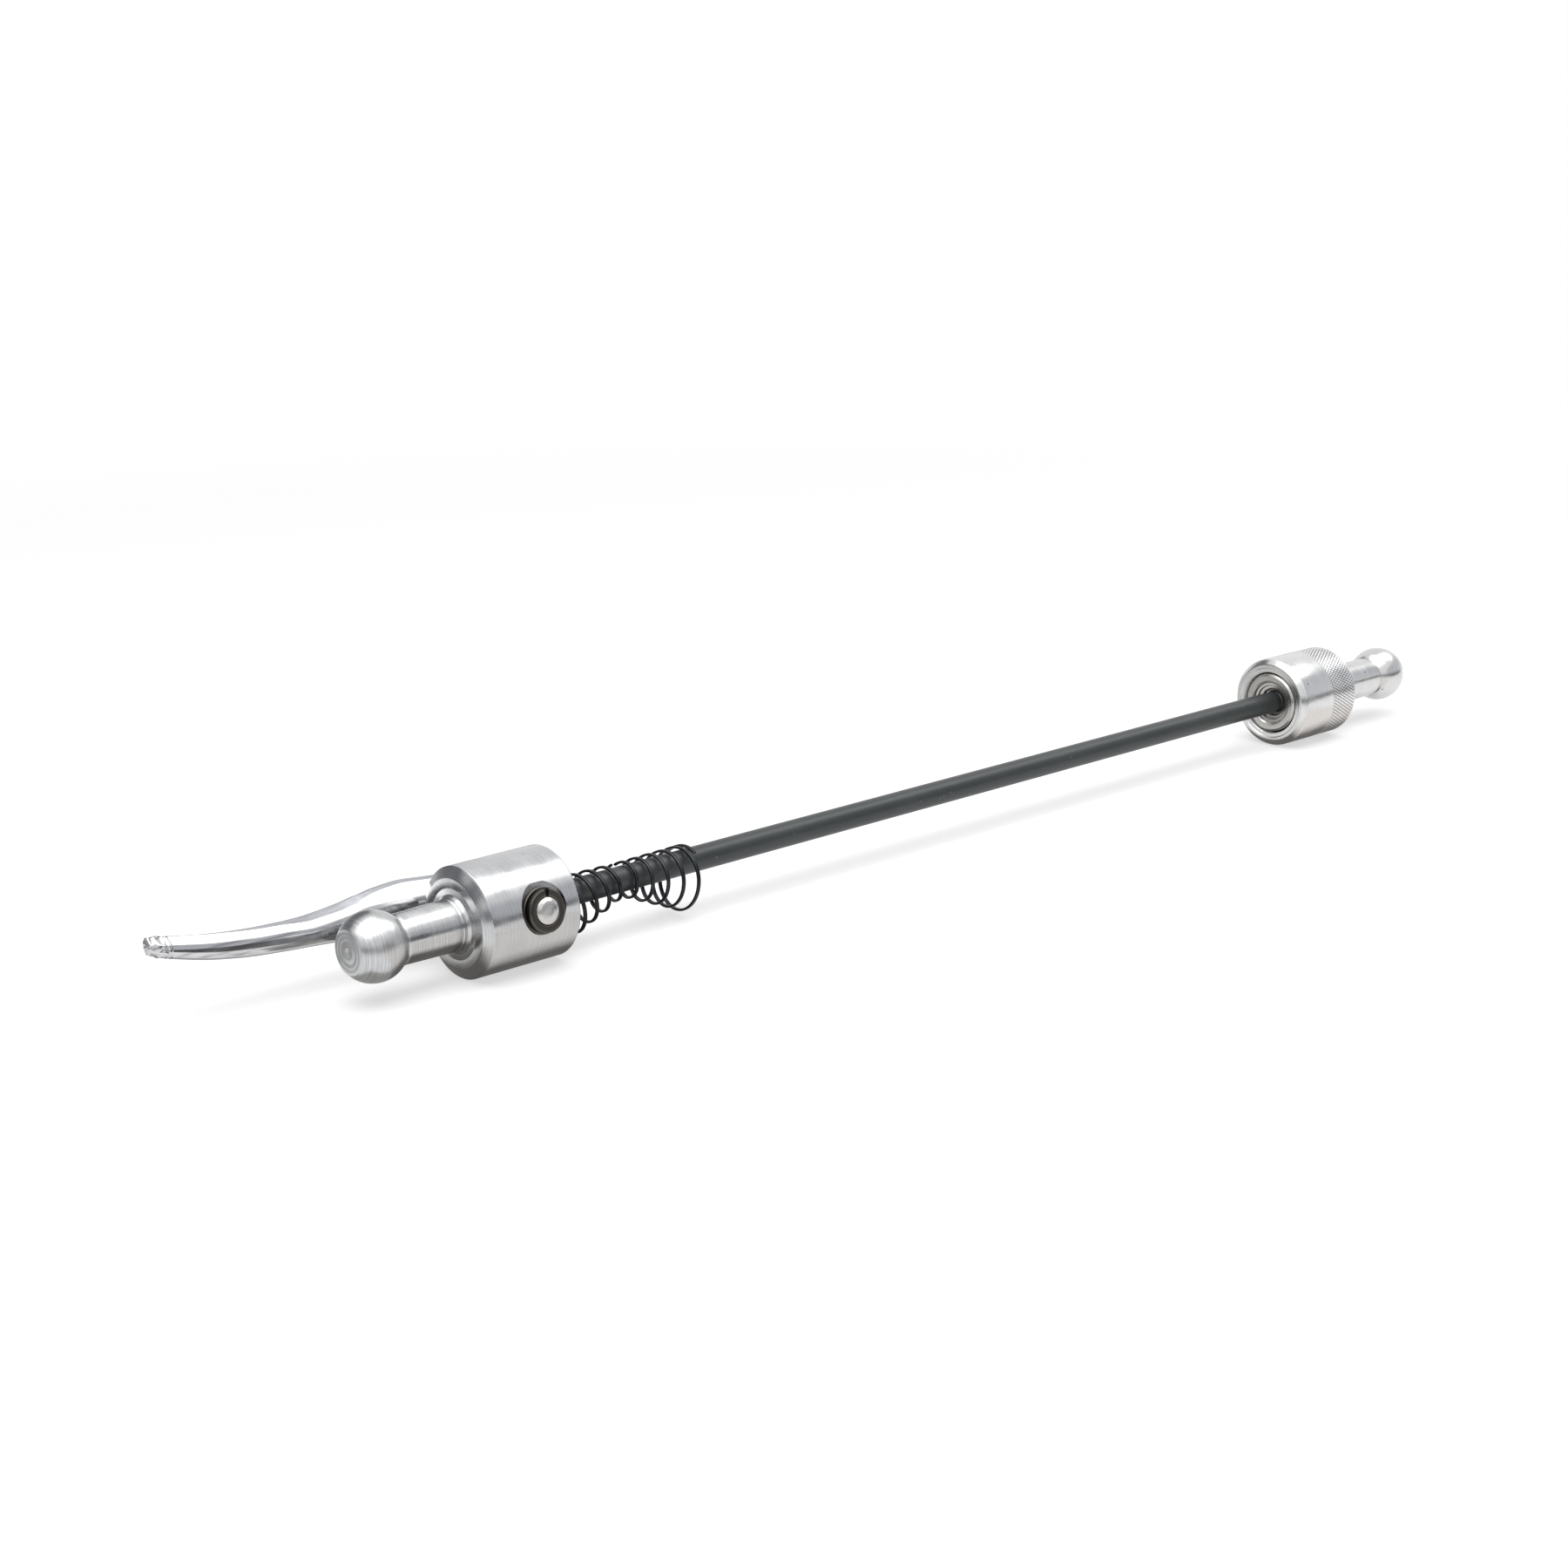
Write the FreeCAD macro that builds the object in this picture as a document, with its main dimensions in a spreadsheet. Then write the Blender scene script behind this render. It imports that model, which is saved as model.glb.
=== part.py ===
import FreeCAD, Part
import math
import os
import Sketcher
from types import SimpleNamespace

# Quick release skewer whose housing and nut each end in a ball stud.
# Origin: centre of the housing's clamping face. +X runs along the rod to the nut, +Y is the
# lever's side, +Z is up. The mechanism lies rolled about X, as it rests on a flat surface.

Vector = FreeCAD.Vector

# Driving dimensions in mm and degrees. A height or offset is measured from the named axis.
DIMENSIONS = {
    # The rod and the grip between the two clamping faces
    "rod_diameter": 5.0,
    "clamp_length": 220.0,
    "rod_in_nut": 15.8,
    "rod_end_chamfer": 0.6,
    "rest_roll": 12.0,
    # Clearances, each on one side
    "slide_gap": 0.06,
    "journal_gap": 0.04,
    "thrust_gap": 0.05,
    "washer_gap": 0.1,
    "free_gap": 0.3,
    "slot_gap": 0.4,
    # Housing with its stud
    "housing_diameter": 21.0,
    "housing_length": 21.0,
    "front_chamfer_length": 1.3,
    "front_chamfer_depth": 1.8,
    "rear_chamfer": 0.3,
    "housing_bore_diameter": 11.4,
    "housing_stud_reach": 17.5,
    # Ball and neck, the same on both studs
    "ball_diameter": 13.0,
    "ball_flat_diameter": 8.0,
    "neck_diameter": 9.7,
    "neck_throat_diameter": 9.3,
    "neck_fillet": 0.9,
    "centre_mark_diameter": 1.6,
    "centre_mark_depth": 0.5,
    # Cross hole through the housing and what it holds
    "pivot_from_face": 8.3,
    "near_journal_diameter": 5.0,
    "cam_diameter": 5.4,
    "cam_throw": 1.1,
    "journal_step": 0.1,
    "counterbore_diameter": 9.8,
    "counterbore_depth": 1.4,
    "counterbore_lift": 0.5,
    "spot_face_diameter": 15.0,
    "spot_face_depth": 0.7,
    "backing_washer_thickness": 1.0,
    "lock_washer_inset": 0.3,
    "lock_washer_thickness": 1.25,
    "lock_washer_split": 12.0,
    "shaft_end_proud": 0.65,
    "shaft_end_chamfer": 0.5,
    "friction_washer_inset": 1.0,
    "friction_washer_thickness": 0.85,
    # Eye on the rod that the cam turns in
    "eye_gap": 0.2,
    "eye_half_width": 3.0,
    "eye_front_wall": 1.7,
    "eye_rear_wall": 1.2,
    "bore_end_gap": 0.9,
    "guide_bush_gap": 0.5,
    # Lever
    "boss_thickness": 6.3,
    "arm_roundness": 0.8,
    # Nut with its stud
    "nut_diameter": 21.0,
    "nut_length": 21.0,
    "nut_chamfer": 1.0,
    "plain_band": 10.7,
    "knurl_recess": 0.15,
    "nut_end_chamfer": 0.7,
    "nut_stud_reach": 23.5,
    "bush_diameter": 14.0,
    "bush_length": 14.0,
    "bush_chamfer": 0.45,
    "bush_face_drop": 0.2,
    "countersink_diameter": 10.6,
    "countersink_depth": 2.2,
    "lock_ring_diameter": 11.0,
    "lock_ring_thickness": 3.0,
    "rod_well_gap": 0.4,
    "rod_well_depth": 1.5,
    # Springs
    "wire_diameter": 0.65,
    "spring_turns": 5.2,
    "spring_pitch": 3.4,
    "closing_pitch": -0.9,
    "spring_wide_radius": 6.5,
    "lever_spring_start": 1.3,
    "spring_spacing": 0.8,
    "lever_spring_phase": 36.0,
    "nut_spring_phase": 45.0,
    "nut_spring_lean": 10.0,
}

# Lever arm from the pivot to the tip: distance along the arm, height of the middle of the
# section over the pivot, half its height and half its thickness
ARM_STATIONS = {
    "pivot": (0.0, 0.0, 6.9, 2.8),
    "swell": (8.0, 1.2, 6.4, 3.0),
    "crown": (14.0, 2.3, 5.8, 3.05),
    "fall": (20.0, 2.85, 4.85, 3.0),
    "throat": (27.0, 3.15, 3.5, 2.75),
    "waist": (34.0, 3.15, 2.85, 2.5),
    "bow": (46.0, 3.85, 2.55, 2.15),
    "wrist": (56.0, 5.3, 2.25, 1.9),
    "tip": (65.5, 7.5, 1.85, 1.65),
}
ARM_COLUMNS = ("along", "middle", "half_height", "half_thickness")


class Size:
    """A measure as its number now and the sheet rule that gives it."""

    def __init__(self, number, rule=None):
        self.number = float(number)
        self.rule = rule or "(%r)" % self.number

    def __add__(self, other):
        other = as_size(other)
        return Size(self.number + other.number, "(%s + %s)" % (self.rule, other.rule))

    def __sub__(self, other):
        other = as_size(other)
        return Size(self.number - other.number, "(%s - %s)" % (self.rule, other.rule))

    def __mul__(self, other):
        other = as_size(other)
        return Size(self.number * other.number, "(%s * %s)" % (self.rule, other.rule))

    def __truediv__(self, other):
        other = as_size(other)
        return Size(self.number / other.number, "(%s / %s)" % (self.rule, other.rule))

    def __neg__(self):
        return Size(-self.number, "(-%s)" % self.rule)


def as_size(value):
    return value if isinstance(value, Size) else Size(value)


def root(value):
    return Size(math.sqrt(value.number), "sqrt(%s)" % value.rule)


def sine(degrees):
    return Size(math.sin(math.radians(degrees.number)), "sin(%s)" % degrees.rule)


def cosine(degrees):
    return Size(math.cos(math.radians(degrees.number)), "cos(%s)" % degrees.rule)


def smaller(first, second):
    return Size(min(first.number, second.number), "min(%s; %s)" % (first.rule, second.rule))


ZERO = Size(0.0)

document = FreeCAD.newDocument("ball_end_skewer")
sheet = document.addObject("Spreadsheet::Sheet", "sizes")
for station, numbers in ARM_STATIONS.items():
    for column, number in zip(ARM_COLUMNS, numbers):
        DIMENSIONS["%s_%s" % (station, column)] = number
for row, (alias, number) in enumerate(DIMENSIONS.items(), start=1):
    sheet.set("A%d" % row, str(number))
    sheet.setAlias("A%d" % row, alias)
document.recompute()
d = SimpleNamespace(**{alias: Size(sheet.get(alias), "sizes." + alias) for alias in DIMENSIONS})

# Radii and places that several pieces share
rod_radius = d.rod_diameter / 2
housing_radius = d.housing_diameter / 2
nut_radius = d.nut_diameter / 2
ball_radius = d.ball_diameter / 2
ball_flat_radius = d.ball_flat_diameter / 2
ball_flat_reach = root(ball_radius * ball_radius - ball_flat_radius * ball_flat_radius)
throat_radius = d.neck_throat_diameter / 2
throat_reach = root(ball_radius * ball_radius - throat_radius * throat_radius)
neck_radius = d.neck_diameter / 2
mark_radius = d.centre_mark_diameter / 2
pivot = -d.pivot_from_face
housing_bore = d.housing_bore_diameter / 2
near_journal = d.near_journal_diameter / 2
cam_radius = d.cam_diameter / 2
far_journal = cam_radius + d.cam_throw + d.journal_step
seat_radius = far_journal + d.journal_step
washer_bore = near_journal + d.washer_gap
cam_half_width = d.eye_half_width + d.free_gap - d.washer_gap
slot_half = cam_radius + d.slot_gap
eye_radius = housing_bore - d.eye_gap
eye_front = pivot - slot_half - d.eye_front_wall
eye_rear = pivot + slot_half + d.eye_rear_wall
bore_end = eye_front - d.cam_throw - d.bore_end_gap
guide_bush_start = eye_rear + d.cam_throw + d.guide_bush_gap
counterbore_radius = d.counterbore_diameter / 2
counterbore_floor = housing_radius - d.counterbore_depth
spot_face_radius = d.spot_face_diameter / 2
spot_face_floor = housing_radius - d.spot_face_depth
backing_washer_radius = counterbore_radius - d.counterbore_lift - d.thrust_gap
backing_washer_outer = counterbore_floor + d.backing_washer_thickness
lock_washer_radius = backing_washer_radius - d.lock_washer_inset
lock_washer_inner = backing_washer_outer + d.thrust_gap
lock_washer_outer = lock_washer_inner + d.lock_washer_thickness
shaft_near_end = lock_washer_outer + d.shaft_end_proud
friction_washer_radius = spot_face_radius - d.friction_washer_inset
friction_washer_outer = spot_face_floor + d.friction_washer_thickness
boss_inner = friction_washer_outer + d.thrust_gap
boss_outer = boss_inner + d.boss_thickness
arm_centre = (boss_inner + boss_outer) / 2
boss_radius = (housing_radius - boss_outer * sine(d.rest_roll)) / cosine(d.rest_roll)
slide_bore = rod_radius + d.slide_gap
nut_face = d.clamp_length
nut_end = nut_face + d.nut_length
bush_radius = d.bush_diameter / 2
bush_end = nut_face + d.bush_length
lock_ring_radius = d.lock_ring_diameter / 2
lock_ring_well_end = bush_end + d.lock_ring_thickness
rod_end = nut_face + d.rod_in_nut
wire_radius = d.wire_diameter / 2


def origin_plane(body, role):
    return [item for item in body.Origin.OriginFeatures if item.Role == role][0]


def new_body(name):
    """A body for one piece, turned about X as the mechanism rests."""
    body = document.addObject("PartDesign::Body", name)
    body.Label = name
    body.Placement = FreeCAD.Placement(Vector(), FreeCAD.Rotation(Vector(1, 0, 0), -1.0))
    body.setExpression("Placement.Rotation.Angle", "-" + d.rest_roll.rule)
    return body


def new_sketch(body, name, role, shift=None):
    """A sketch on one of the body's own planes, moved by shift, an axis letter and a size."""
    sketch = body.newObject("Sketcher::SketchObject", name)
    sketch.AttachmentSupport = [(origin_plane(body, role), "")]
    sketch.MapMode = "FlatFace"
    if shift:
        sketch.setExpression("AttachmentOffset.Base.%s" % shift[0], shift[1].rule)
    return sketch


def arc_centre(start, end, radius):
    """Centre of the short arc from start to end; a positive radius turns left."""
    chord = end - start
    middle = (start + end) * 0.5
    left = Vector(-chord.y, chord.x, 0).normalize()
    rise = math.sqrt(max(radius * radius - chord.Length ** 2 / 4, 0.0))
    return middle + left * math.copysign(rise, radius)


def fix_point(sketch, edge, end, corner):
    for kind, measure in zip(("DistanceX", "DistanceY"), corner):
        rule = Sketcher.Constraint(kind, -1, 1, edge, end, measure.number)
        number = sketch.addConstraint(rule)
        sketch.setExpression("Constraints[%d]" % number, measure.rule)


def draw(sketch, corners, arcs=None):
    """Closed outline through the corners. arcs gives the signed radius of the edge that
    leaves a corner, by the corner's number; a positive radius turns left."""
    arcs = arcs or {}
    corners = [(as_size(first), as_size(second)) for first, second in corners]
    points = [Vector(first.number, second.number, 0) for first, second in corners]
    ends = []
    for number, start in enumerate(points):
        end = points[(number + 1) % len(points)]
        if number not in arcs:
            sketch.addGeometry(Part.LineSegment(start, end), False)
            ends.append((1, 2))
            continue
        radius = arcs[number].number
        centre = arc_centre(start, end, radius)
        first, last = (start, end) if radius > 0 else (end, start)
        circle = Part.Circle(centre, Vector(0, 0, 1), abs(radius))
        angles = [math.atan2(point.y - centre.y, point.x - centre.x) for point in (first, last)]
        sketch.addGeometry(Part.ArcOfCircle(circle, angles[0], angles[1]), False)
        ends.append((1, 2) if radius > 0 else (2, 1))
    for number in range(len(points)):
        after = (number + 1) % len(points)
        sketch.addConstraint(
            Sketcher.Constraint("Coincident", number, ends[number][1], after, ends[after][0]))
    for number, corner in enumerate(corners):
        fix_point(sketch, number, ends[number][0], corner)
    for number, radius in arcs.items():
        size = radius if radius.number > 0 else -radius
        rule = sketch.addConstraint(Sketcher.Constraint("Radius", number, size.number))
        sketch.setExpression("Constraints[%d]" % rule, size.rule)


def circle_in(sketch, across, up, radius):
    middle = Vector(across.number, up.number, 0)
    sketch.addGeometry(Part.Circle(middle, Vector(0, 0, 1), radius.number), False)
    fix_point(sketch, 0, 3, (across, up))
    rule = sketch.addConstraint(Sketcher.Constraint("Radius", 0, radius.number))
    sketch.setExpression("Constraints[%d]" % rule, radius.rule)


def turn_about(body, sketch, axis, name, cut=False):
    kind = "PartDesign::Groove" if cut else "PartDesign::Revolution"
    feature = body.newObject(kind, name)
    feature.Profile = sketch
    feature.ReferenceAxis = (sketch, [axis])
    feature.Angle = 360.0


def turned_on_rod(name, corners, arcs=None):
    """A piece turned about the rod's axis, from its outline as distance along X and radius."""
    body = new_body(name)
    sketch = new_sketch(body, name + "_outline", "XY_Plane")
    draw(sketch, corners, arcs)
    turn_about(body, sketch, "H_Axis", name + "_turning")
    return body


def cross_outline(body, name, corners):
    """Outline as radius from the cross shaft's axis and distance along it."""
    sketch = new_sketch(body, name, "XY_Plane", ("x", pivot))
    draw(sketch, corners)
    return sketch


def cross_ring(name, inner, outer, start, end):
    """A flat ring on the cross shaft's axis."""
    body = new_body(name)
    corners = [(inner, start), (outer, start), (outer, end), (inner, end)]
    sketch = cross_outline(body, name + "_outline", corners)
    turn_about(body, sketch, "V_Axis", name + "_turning")
    return body


def cut_through(body, sketch, name):
    feature = body.newObject("PartDesign::Pocket", name)
    feature.Profile = sketch
    feature.Type = "ThroughAll"
    feature.Midplane = True


def make_cam_housing():
    front = -d.housing_length
    ball = front - d.housing_stud_reach
    flat = ball - ball_flat_reach
    corners = [
        (flat + d.centre_mark_depth, ZERO),
        (flat, mark_radius),
        (flat, ball_flat_radius),
        (ball + throat_reach, throat_radius),
        (front - d.neck_fillet, neck_radius),
        (front, neck_radius + d.neck_fillet),
        (front, housing_radius - d.front_chamfer_depth),
        (front + d.front_chamfer_length, housing_radius),
        (-d.rear_chamfer, housing_radius),
        (ZERO, housing_radius - d.rear_chamfer),
        (ZERO, housing_bore),
        (bore_end, housing_bore),
        (bore_end, ZERO),
    ]
    body = turned_on_rod("cam_housing", corners, {2: -ball_radius, 4: d.neck_fillet})
    bores = cross_outline(body, "cross_bore_outline", [
        (ZERO, -housing_radius),
        (near_journal + d.journal_gap, -housing_radius),
        (near_journal + d.journal_gap, ZERO),
        (far_journal + d.journal_gap, ZERO),
        (far_journal + d.journal_gap, spot_face_floor),
        (spot_face_radius, spot_face_floor),
        (spot_face_radius, housing_radius + d.free_gap),
        (ZERO, housing_radius + d.free_gap),
    ])
    turn_about(body, bores, "V_Axis", "cross_bore", cut=True)
    face = new_sketch(body, "counterbore_outline", "XZ_Plane", ("z", counterbore_floor))
    circle_in(face, pivot, d.counterbore_lift, counterbore_radius)
    counterbore = body.newObject("PartDesign::Pocket", "counterbore")
    counterbore.Profile = face
    counterbore.Reversed = True
    counterbore.Length = 1.0
    counterbore.setExpression("Length", (housing_radius + d.free_gap).rule)
    return body


def make_rod_guide_bush():
    return turned_on_rod("rod_guide_bush", [
        (guide_bush_start, slide_bore), (guide_bush_start, housing_bore),
        (ZERO, housing_bore), (ZERO, slide_bore),
    ])


def make_skewer_rod():
    body = turned_on_rod("skewer_rod", [
        (eye_front, ZERO),
        (eye_front, eye_radius),
        (eye_rear, eye_radius),
        (eye_rear, rod_radius),
        (rod_end - d.rod_end_chamfer, rod_radius),
        (rod_end, rod_radius - d.rod_end_chamfer),
        (rod_end, ZERO),
    ])
    beyond = eye_radius + d.free_gap
    for name, way in (("near_flat", -1), ("far_flat", 1)):
        flat = new_sketch(body, name + "_outline", "XY_Plane")
        inner = d.eye_half_width * way
        outer = beyond * way
        left = eye_front - d.free_gap
        draw(flat, [(left, inner), (eye_rear, inner), (eye_rear, outer), (left, outer)])
        cut_through(body, flat, name)
    slot = new_sketch(body, "cam_slot_outline", "XZ_Plane")
    high = cam_radius + d.free_gap
    low = -(d.cam_throw + high)
    draw(slot, [
        (pivot - slot_half, low), (pivot + slot_half, low),
        (pivot + slot_half, high), (pivot - slot_half, high),
    ])
    cut_through(body, slot, "cam_slot")
    return body


def make_cam_shaft():
    """The cam alone joins the two journals, so that the eye's slot clears the shaft."""
    body = new_body("cam_shaft")
    lobe = new_sketch(body, "cam_outline", "XZ_Plane")
    circle_in(lobe, pivot, -d.cam_throw, cam_radius)
    cam = body.newObject("PartDesign::Pad", "cam")
    cam.Profile = lobe
    cam.Midplane = True
    cam.Length = 1.0
    cam.setExpression("Length", (cam_half_width * 2).rule)
    near_end = cross_outline(body, "near_journal_outline", [
        (ZERO, -shaft_near_end),
        (near_journal - d.shaft_end_chamfer, -shaft_near_end),
        (near_journal, -(shaft_near_end - d.shaft_end_chamfer)),
        (near_journal, -cam_half_width),
        (ZERO, -cam_half_width),
    ])
    turn_about(body, near_end, "V_Axis", "near_journal")
    far_end = cross_outline(body, "far_journal_outline", [
        (ZERO, cam_half_width),
        (far_journal, cam_half_width),
        (far_journal, boss_inner),
        (seat_radius, boss_inner),
        (seat_radius, boss_outer),
        (ZERO, boss_outer),
    ])
    turn_about(body, far_end, "V_Axis", "far_journal")
    return body


def make_split_lock_washer():
    """A ring cut through at the top, with the cut square to the ring."""
    body = cross_ring("split_lock_washer", washer_bore, lock_washer_radius,
                      -lock_washer_outer, -lock_washer_inner)
    middle = (washer_bore + lock_washer_radius) / 2
    half_cut = middle * sine(d.lock_washer_split / 2)
    cut = new_sketch(body, "lock_washer_split_outline", "XZ_Plane")
    above = lock_washer_radius + d.free_gap
    draw(cut, [
        (pivot - half_cut, ZERO), (pivot + half_cut, ZERO),
        (pivot + half_cut, above), (pivot - half_cut, above),
    ])
    cut_through(body, cut, "lock_washer_split_cut")
    return body


def arm_section(body, station):
    """Rounded section of the lever arm, square to X, at one station."""
    along, middle, half_height, half_thickness = [
        getattr(d, "%s_%s" % (station, column)) for column in ARM_COLUMNS]
    sketch = new_sketch(body, "arm_at_" + station, "YZ_Plane", ("z", pivot - along))
    corner = smaller(half_height, half_thickness) * d.arm_roundness
    near = arm_centre - half_thickness
    far = arm_centre + half_thickness
    low = middle - half_height
    high = middle + half_height
    corners = [
        (near + corner, low), (far - corner, low), (far, low + corner), (far, high - corner),
        (far - corner, high), (near + corner, high), (near, high - corner), (near, low + corner),
    ]
    draw(sketch, corners, {1: corner, 3: corner, 5: corner, 7: corner})
    return sketch


def make_lever():
    body = new_body("lever")
    sections = [arm_section(body, station) for station in ARM_STATIONS]
    arm = body.newObject("PartDesign::AdditiveLoft", "arm")
    arm.Profile = sections[0]
    arm.Sections = sections[1:]
    boss = cross_outline(body, "boss_outline", [
        (ZERO, boss_inner), (boss_radius, boss_inner), (boss_radius, boss_outer), (ZERO, boss_outer),
    ])
    turn_about(body, boss, "V_Axis", "boss")
    bore = cross_outline(body, "seat_bore_outline", [
        (ZERO, boss_inner - d.free_gap), (seat_radius, boss_inner - d.free_gap),
        (seat_radius, boss_outer + d.free_gap), (ZERO, boss_outer + d.free_gap),
    ])
    turn_about(body, bore, "V_Axis", "seat_bore", cut=True)
    return body


def make_adjusting_nut():
    ball = nut_end + d.nut_stud_reach
    flat = ball + ball_flat_reach
    well_radius = rod_radius + d.rod_well_gap
    well_end = lock_ring_well_end + d.rod_well_depth
    knurl_radius = nut_radius - d.knurl_recess
    corners = [
        (nut_face, bush_radius),
        (nut_face, nut_radius - d.nut_chamfer),
        (nut_face + d.nut_chamfer, nut_radius),
        (nut_face + d.nut_chamfer + d.plain_band, nut_radius),
        (nut_face + d.nut_chamfer + d.plain_band, knurl_radius),
        (nut_end - d.nut_end_chamfer, knurl_radius),
        (nut_end, knurl_radius - d.nut_end_chamfer),
        (nut_end, neck_radius + d.neck_fillet),
        (nut_end + d.neck_fillet, neck_radius),
        (ball - throat_reach, throat_radius),
        (flat, ball_flat_radius),
        (flat, mark_radius),
        (flat - d.centre_mark_depth, ZERO),
        (well_end, ZERO),
        (well_end, well_radius),
        (lock_ring_well_end, well_radius),
        (lock_ring_well_end, lock_ring_radius),
        (bush_end, lock_ring_radius),
        (bush_end, bush_radius),
    ]
    return turned_on_rod("adjusting_nut", corners, {7: d.neck_fillet, 9: -ball_radius})


def make_thread_bush():
    face = nut_face + d.bush_face_drop
    sink = d.countersink_diameter / 2
    return turned_on_rod("thread_bush", [
        (face, sink),
        (face, bush_radius - d.bush_chamfer),
        (face + d.bush_chamfer, bush_radius),
        (bush_end, bush_radius),
        (bush_end, slide_bore),
        (face + d.countersink_depth, slide_bore),
    ])


def make_nylon_lock_ring():
    outer = lock_ring_radius - d.journal_gap
    start = bush_end + d.thrust_gap
    end = lock_ring_well_end - d.thrust_gap
    return turned_on_rod("nylon_lock_ring", [
        (start, slide_bore), (start, outer), (end, outer), (end, slide_bore),
    ])


def spring_point(spring, turn):
    """Point on a conical spring's centre line, turn by turn from its narrow end. The wide
    end closes up over the last turn. Each turn hangs on the rod by its top, and leans."""
    turns = d.spring_turns.number
    pitch = d.spring_pitch.number
    closing = max(turn - (turns - 1.0), 0.0)
    advance = pitch * turn - (pitch - d.closing_pitch.number) * closing ** 2 / 2
    narrow = rod_radius.number + d.free_gap.number + wire_radius.number
    radius = narrow + (d.spring_wide_radius.number - narrow) * turn / turns
    angle = math.radians(spring.phase) - spring.way * 2 * math.pi * turn
    height = radius * math.cos(angle) - (radius - narrow)
    along = spring.narrow_end + spring.way * advance + height * math.tan(math.radians(spring.lean))
    return Vector(along, radius * math.sin(angle), height)


def arc_pair(start, start_way, end, end_way):
    """Two arcs that leave start and reach end along the given directions."""
    chord = end - start
    both = start_way + end_way
    spread = 2 * (1 - start_way.dot(end_way))
    along = chord.dot(both)
    reach = (-along + math.sqrt(along ** 2 + spread * chord.dot(chord))) / spread
    first_corner = start + start_way * reach
    last_corner = end - end_way * reach
    joint = (first_corner + last_corner) * 0.5
    edges = []
    for begin, corner, finish in ((start, first_corner, joint), (joint, last_corner, end)):
        lean = (corner - begin).getAngle(finish - begin)
        weight = math.cos(lean)
        middle = (begin + finish + corner * (2 * weight)) * (1 / (2 + 2 * weight))
        edges.append(Part.Arc(begin, middle, finish).toShape())
    return edges


def least_self_gap(points, wire, turn_points):
    """Least gap between a wire's turns, from points on its centre line."""
    least = float("inf")
    for number, point in enumerate(points):
        for other in points[number + round(turn_points / 2):]:
            least = min(least, point.distanceToPoint(other))
    return least - wire


def make_spring(name, spring):
    """A conical spring as one round wire on pairs of arcs, with short straight ends."""
    wire = d.wire_diameter.number
    quarters = math.ceil(d.spring_turns.number * 4)
    step = d.spring_turns.number / quarters
    turn_points = 48
    nudge = 1e-5
    points = []
    ways = []
    for number in range(quarters + 1):
        turn = number * step
        ahead = spring_point(spring, turn + nudge)
        behind = spring_point(spring, turn - nudge)
        points.append(spring_point(spring, turn))
        ways.append((ahead - behind).normalize())
    edges = [Part.makeLine(points[0] - ways[0] * wire, points[0])]
    for number in range(quarters):
        edges += arc_pair(points[number], ways[number], points[number + 1], ways[number + 1])
    edges.append(Part.makeLine(points[-1], points[-1] + ways[-1] * wire))
    spine = Part.Wire(edges)
    section = Part.Wire(Part.makeCircle(wire / 2, points[0] - ways[0] * wire, ways[0]))
    shape = spine.makePipeShell([section], True, False)
    tube = spine.Length * math.pi * wire ** 2 / 4
    count = round(d.spring_turns.number * turn_points)
    samples = [spring_point(spring, number / turn_points) for number in range(count + 1)]
    print(name, "volume over section times length", round(shape.Volume / tube, 4),
          "least gap to itself", round(least_self_gap(samples, wire, turn_points), 2), "mm")
    feature = document.addObject("Part::Feature", name)
    feature.Label = name
    feature.Shape = shape
    feature.Placement = FreeCAD.Placement()
    return feature


def make_springs():
    """The wide ends face the housing and the nut, and the narrow ends face each other."""
    length = d.spring_pitch.number * d.spring_turns.number
    length -= (d.spring_pitch.number - d.closing_pitch.number) / 2
    lever_narrow = d.lever_spring_start.number + wire_radius.number + length
    nut_narrow = lever_narrow + d.spring_spacing.number
    lever_spring = SimpleNamespace(
        narrow_end=lever_narrow, way=-1, phase=d.lever_spring_phase.number, lean=0.0)
    nut_spring = SimpleNamespace(
        narrow_end=nut_narrow, way=1, phase=d.nut_spring_phase.number,
        lean=d.nut_spring_lean.number)
    return [make_spring("lever_spring", lever_spring), make_spring("nut_spring", nut_spring)]


pieces = [
    make_cam_housing(),
    make_rod_guide_bush(),
    make_skewer_rod(),
    make_cam_shaft(),
    cross_ring("friction_washer", far_journal + d.washer_gap, friction_washer_radius,
               spot_face_floor, friction_washer_outer),
    cross_ring("backing_washer", washer_bore, backing_washer_radius,
               -backing_washer_outer, -counterbore_floor),
    make_split_lock_washer(),
    make_lever(),
    make_adjusting_nut(),
    make_thread_bush(),
    make_nylon_lock_ring(),
]
document.recompute()
pieces += make_springs()
document.recompute()

faults = [item.Name for item in document.Objects if {"Invalid", "Error"} & set(item.State)]
for piece in pieces:
    if piece.Shape.isNull() or not piece.Shape.isValid() or len(piece.Shape.Solids) != 1:
        faults.append(piece.Label)

# Every cut takes away what its tool shares with the solid before it. The seat bore's share is
# worked out from its sizes, as it goes right through the boss.
worked_out = {"seat_bore": math.pi * seat_radius.number ** 2 * d.boss_thickness.number}
for cut in document.Objects:
    if cut.TypeId not in ("PartDesign::Pocket", "PartDesign::Groove"):
        continue
    before = cut.BaseFeature.Shape
    removed = before.Volume - cut.Shape.Volume
    shared = worked_out.get(cut.Name) or before.common(cut.AddSubShape).Volume
    print(cut.Name, "takes away", round(removed, 1), "of", round(shared, 1), "cubic mm")
    if removed <= 0 or abs(removed - shared) > 0.01 * shared:
        faults.append(cut.Name)
if faults:
    raise RuntimeError("faulty objects: " + ", ".join(faults))

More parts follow.
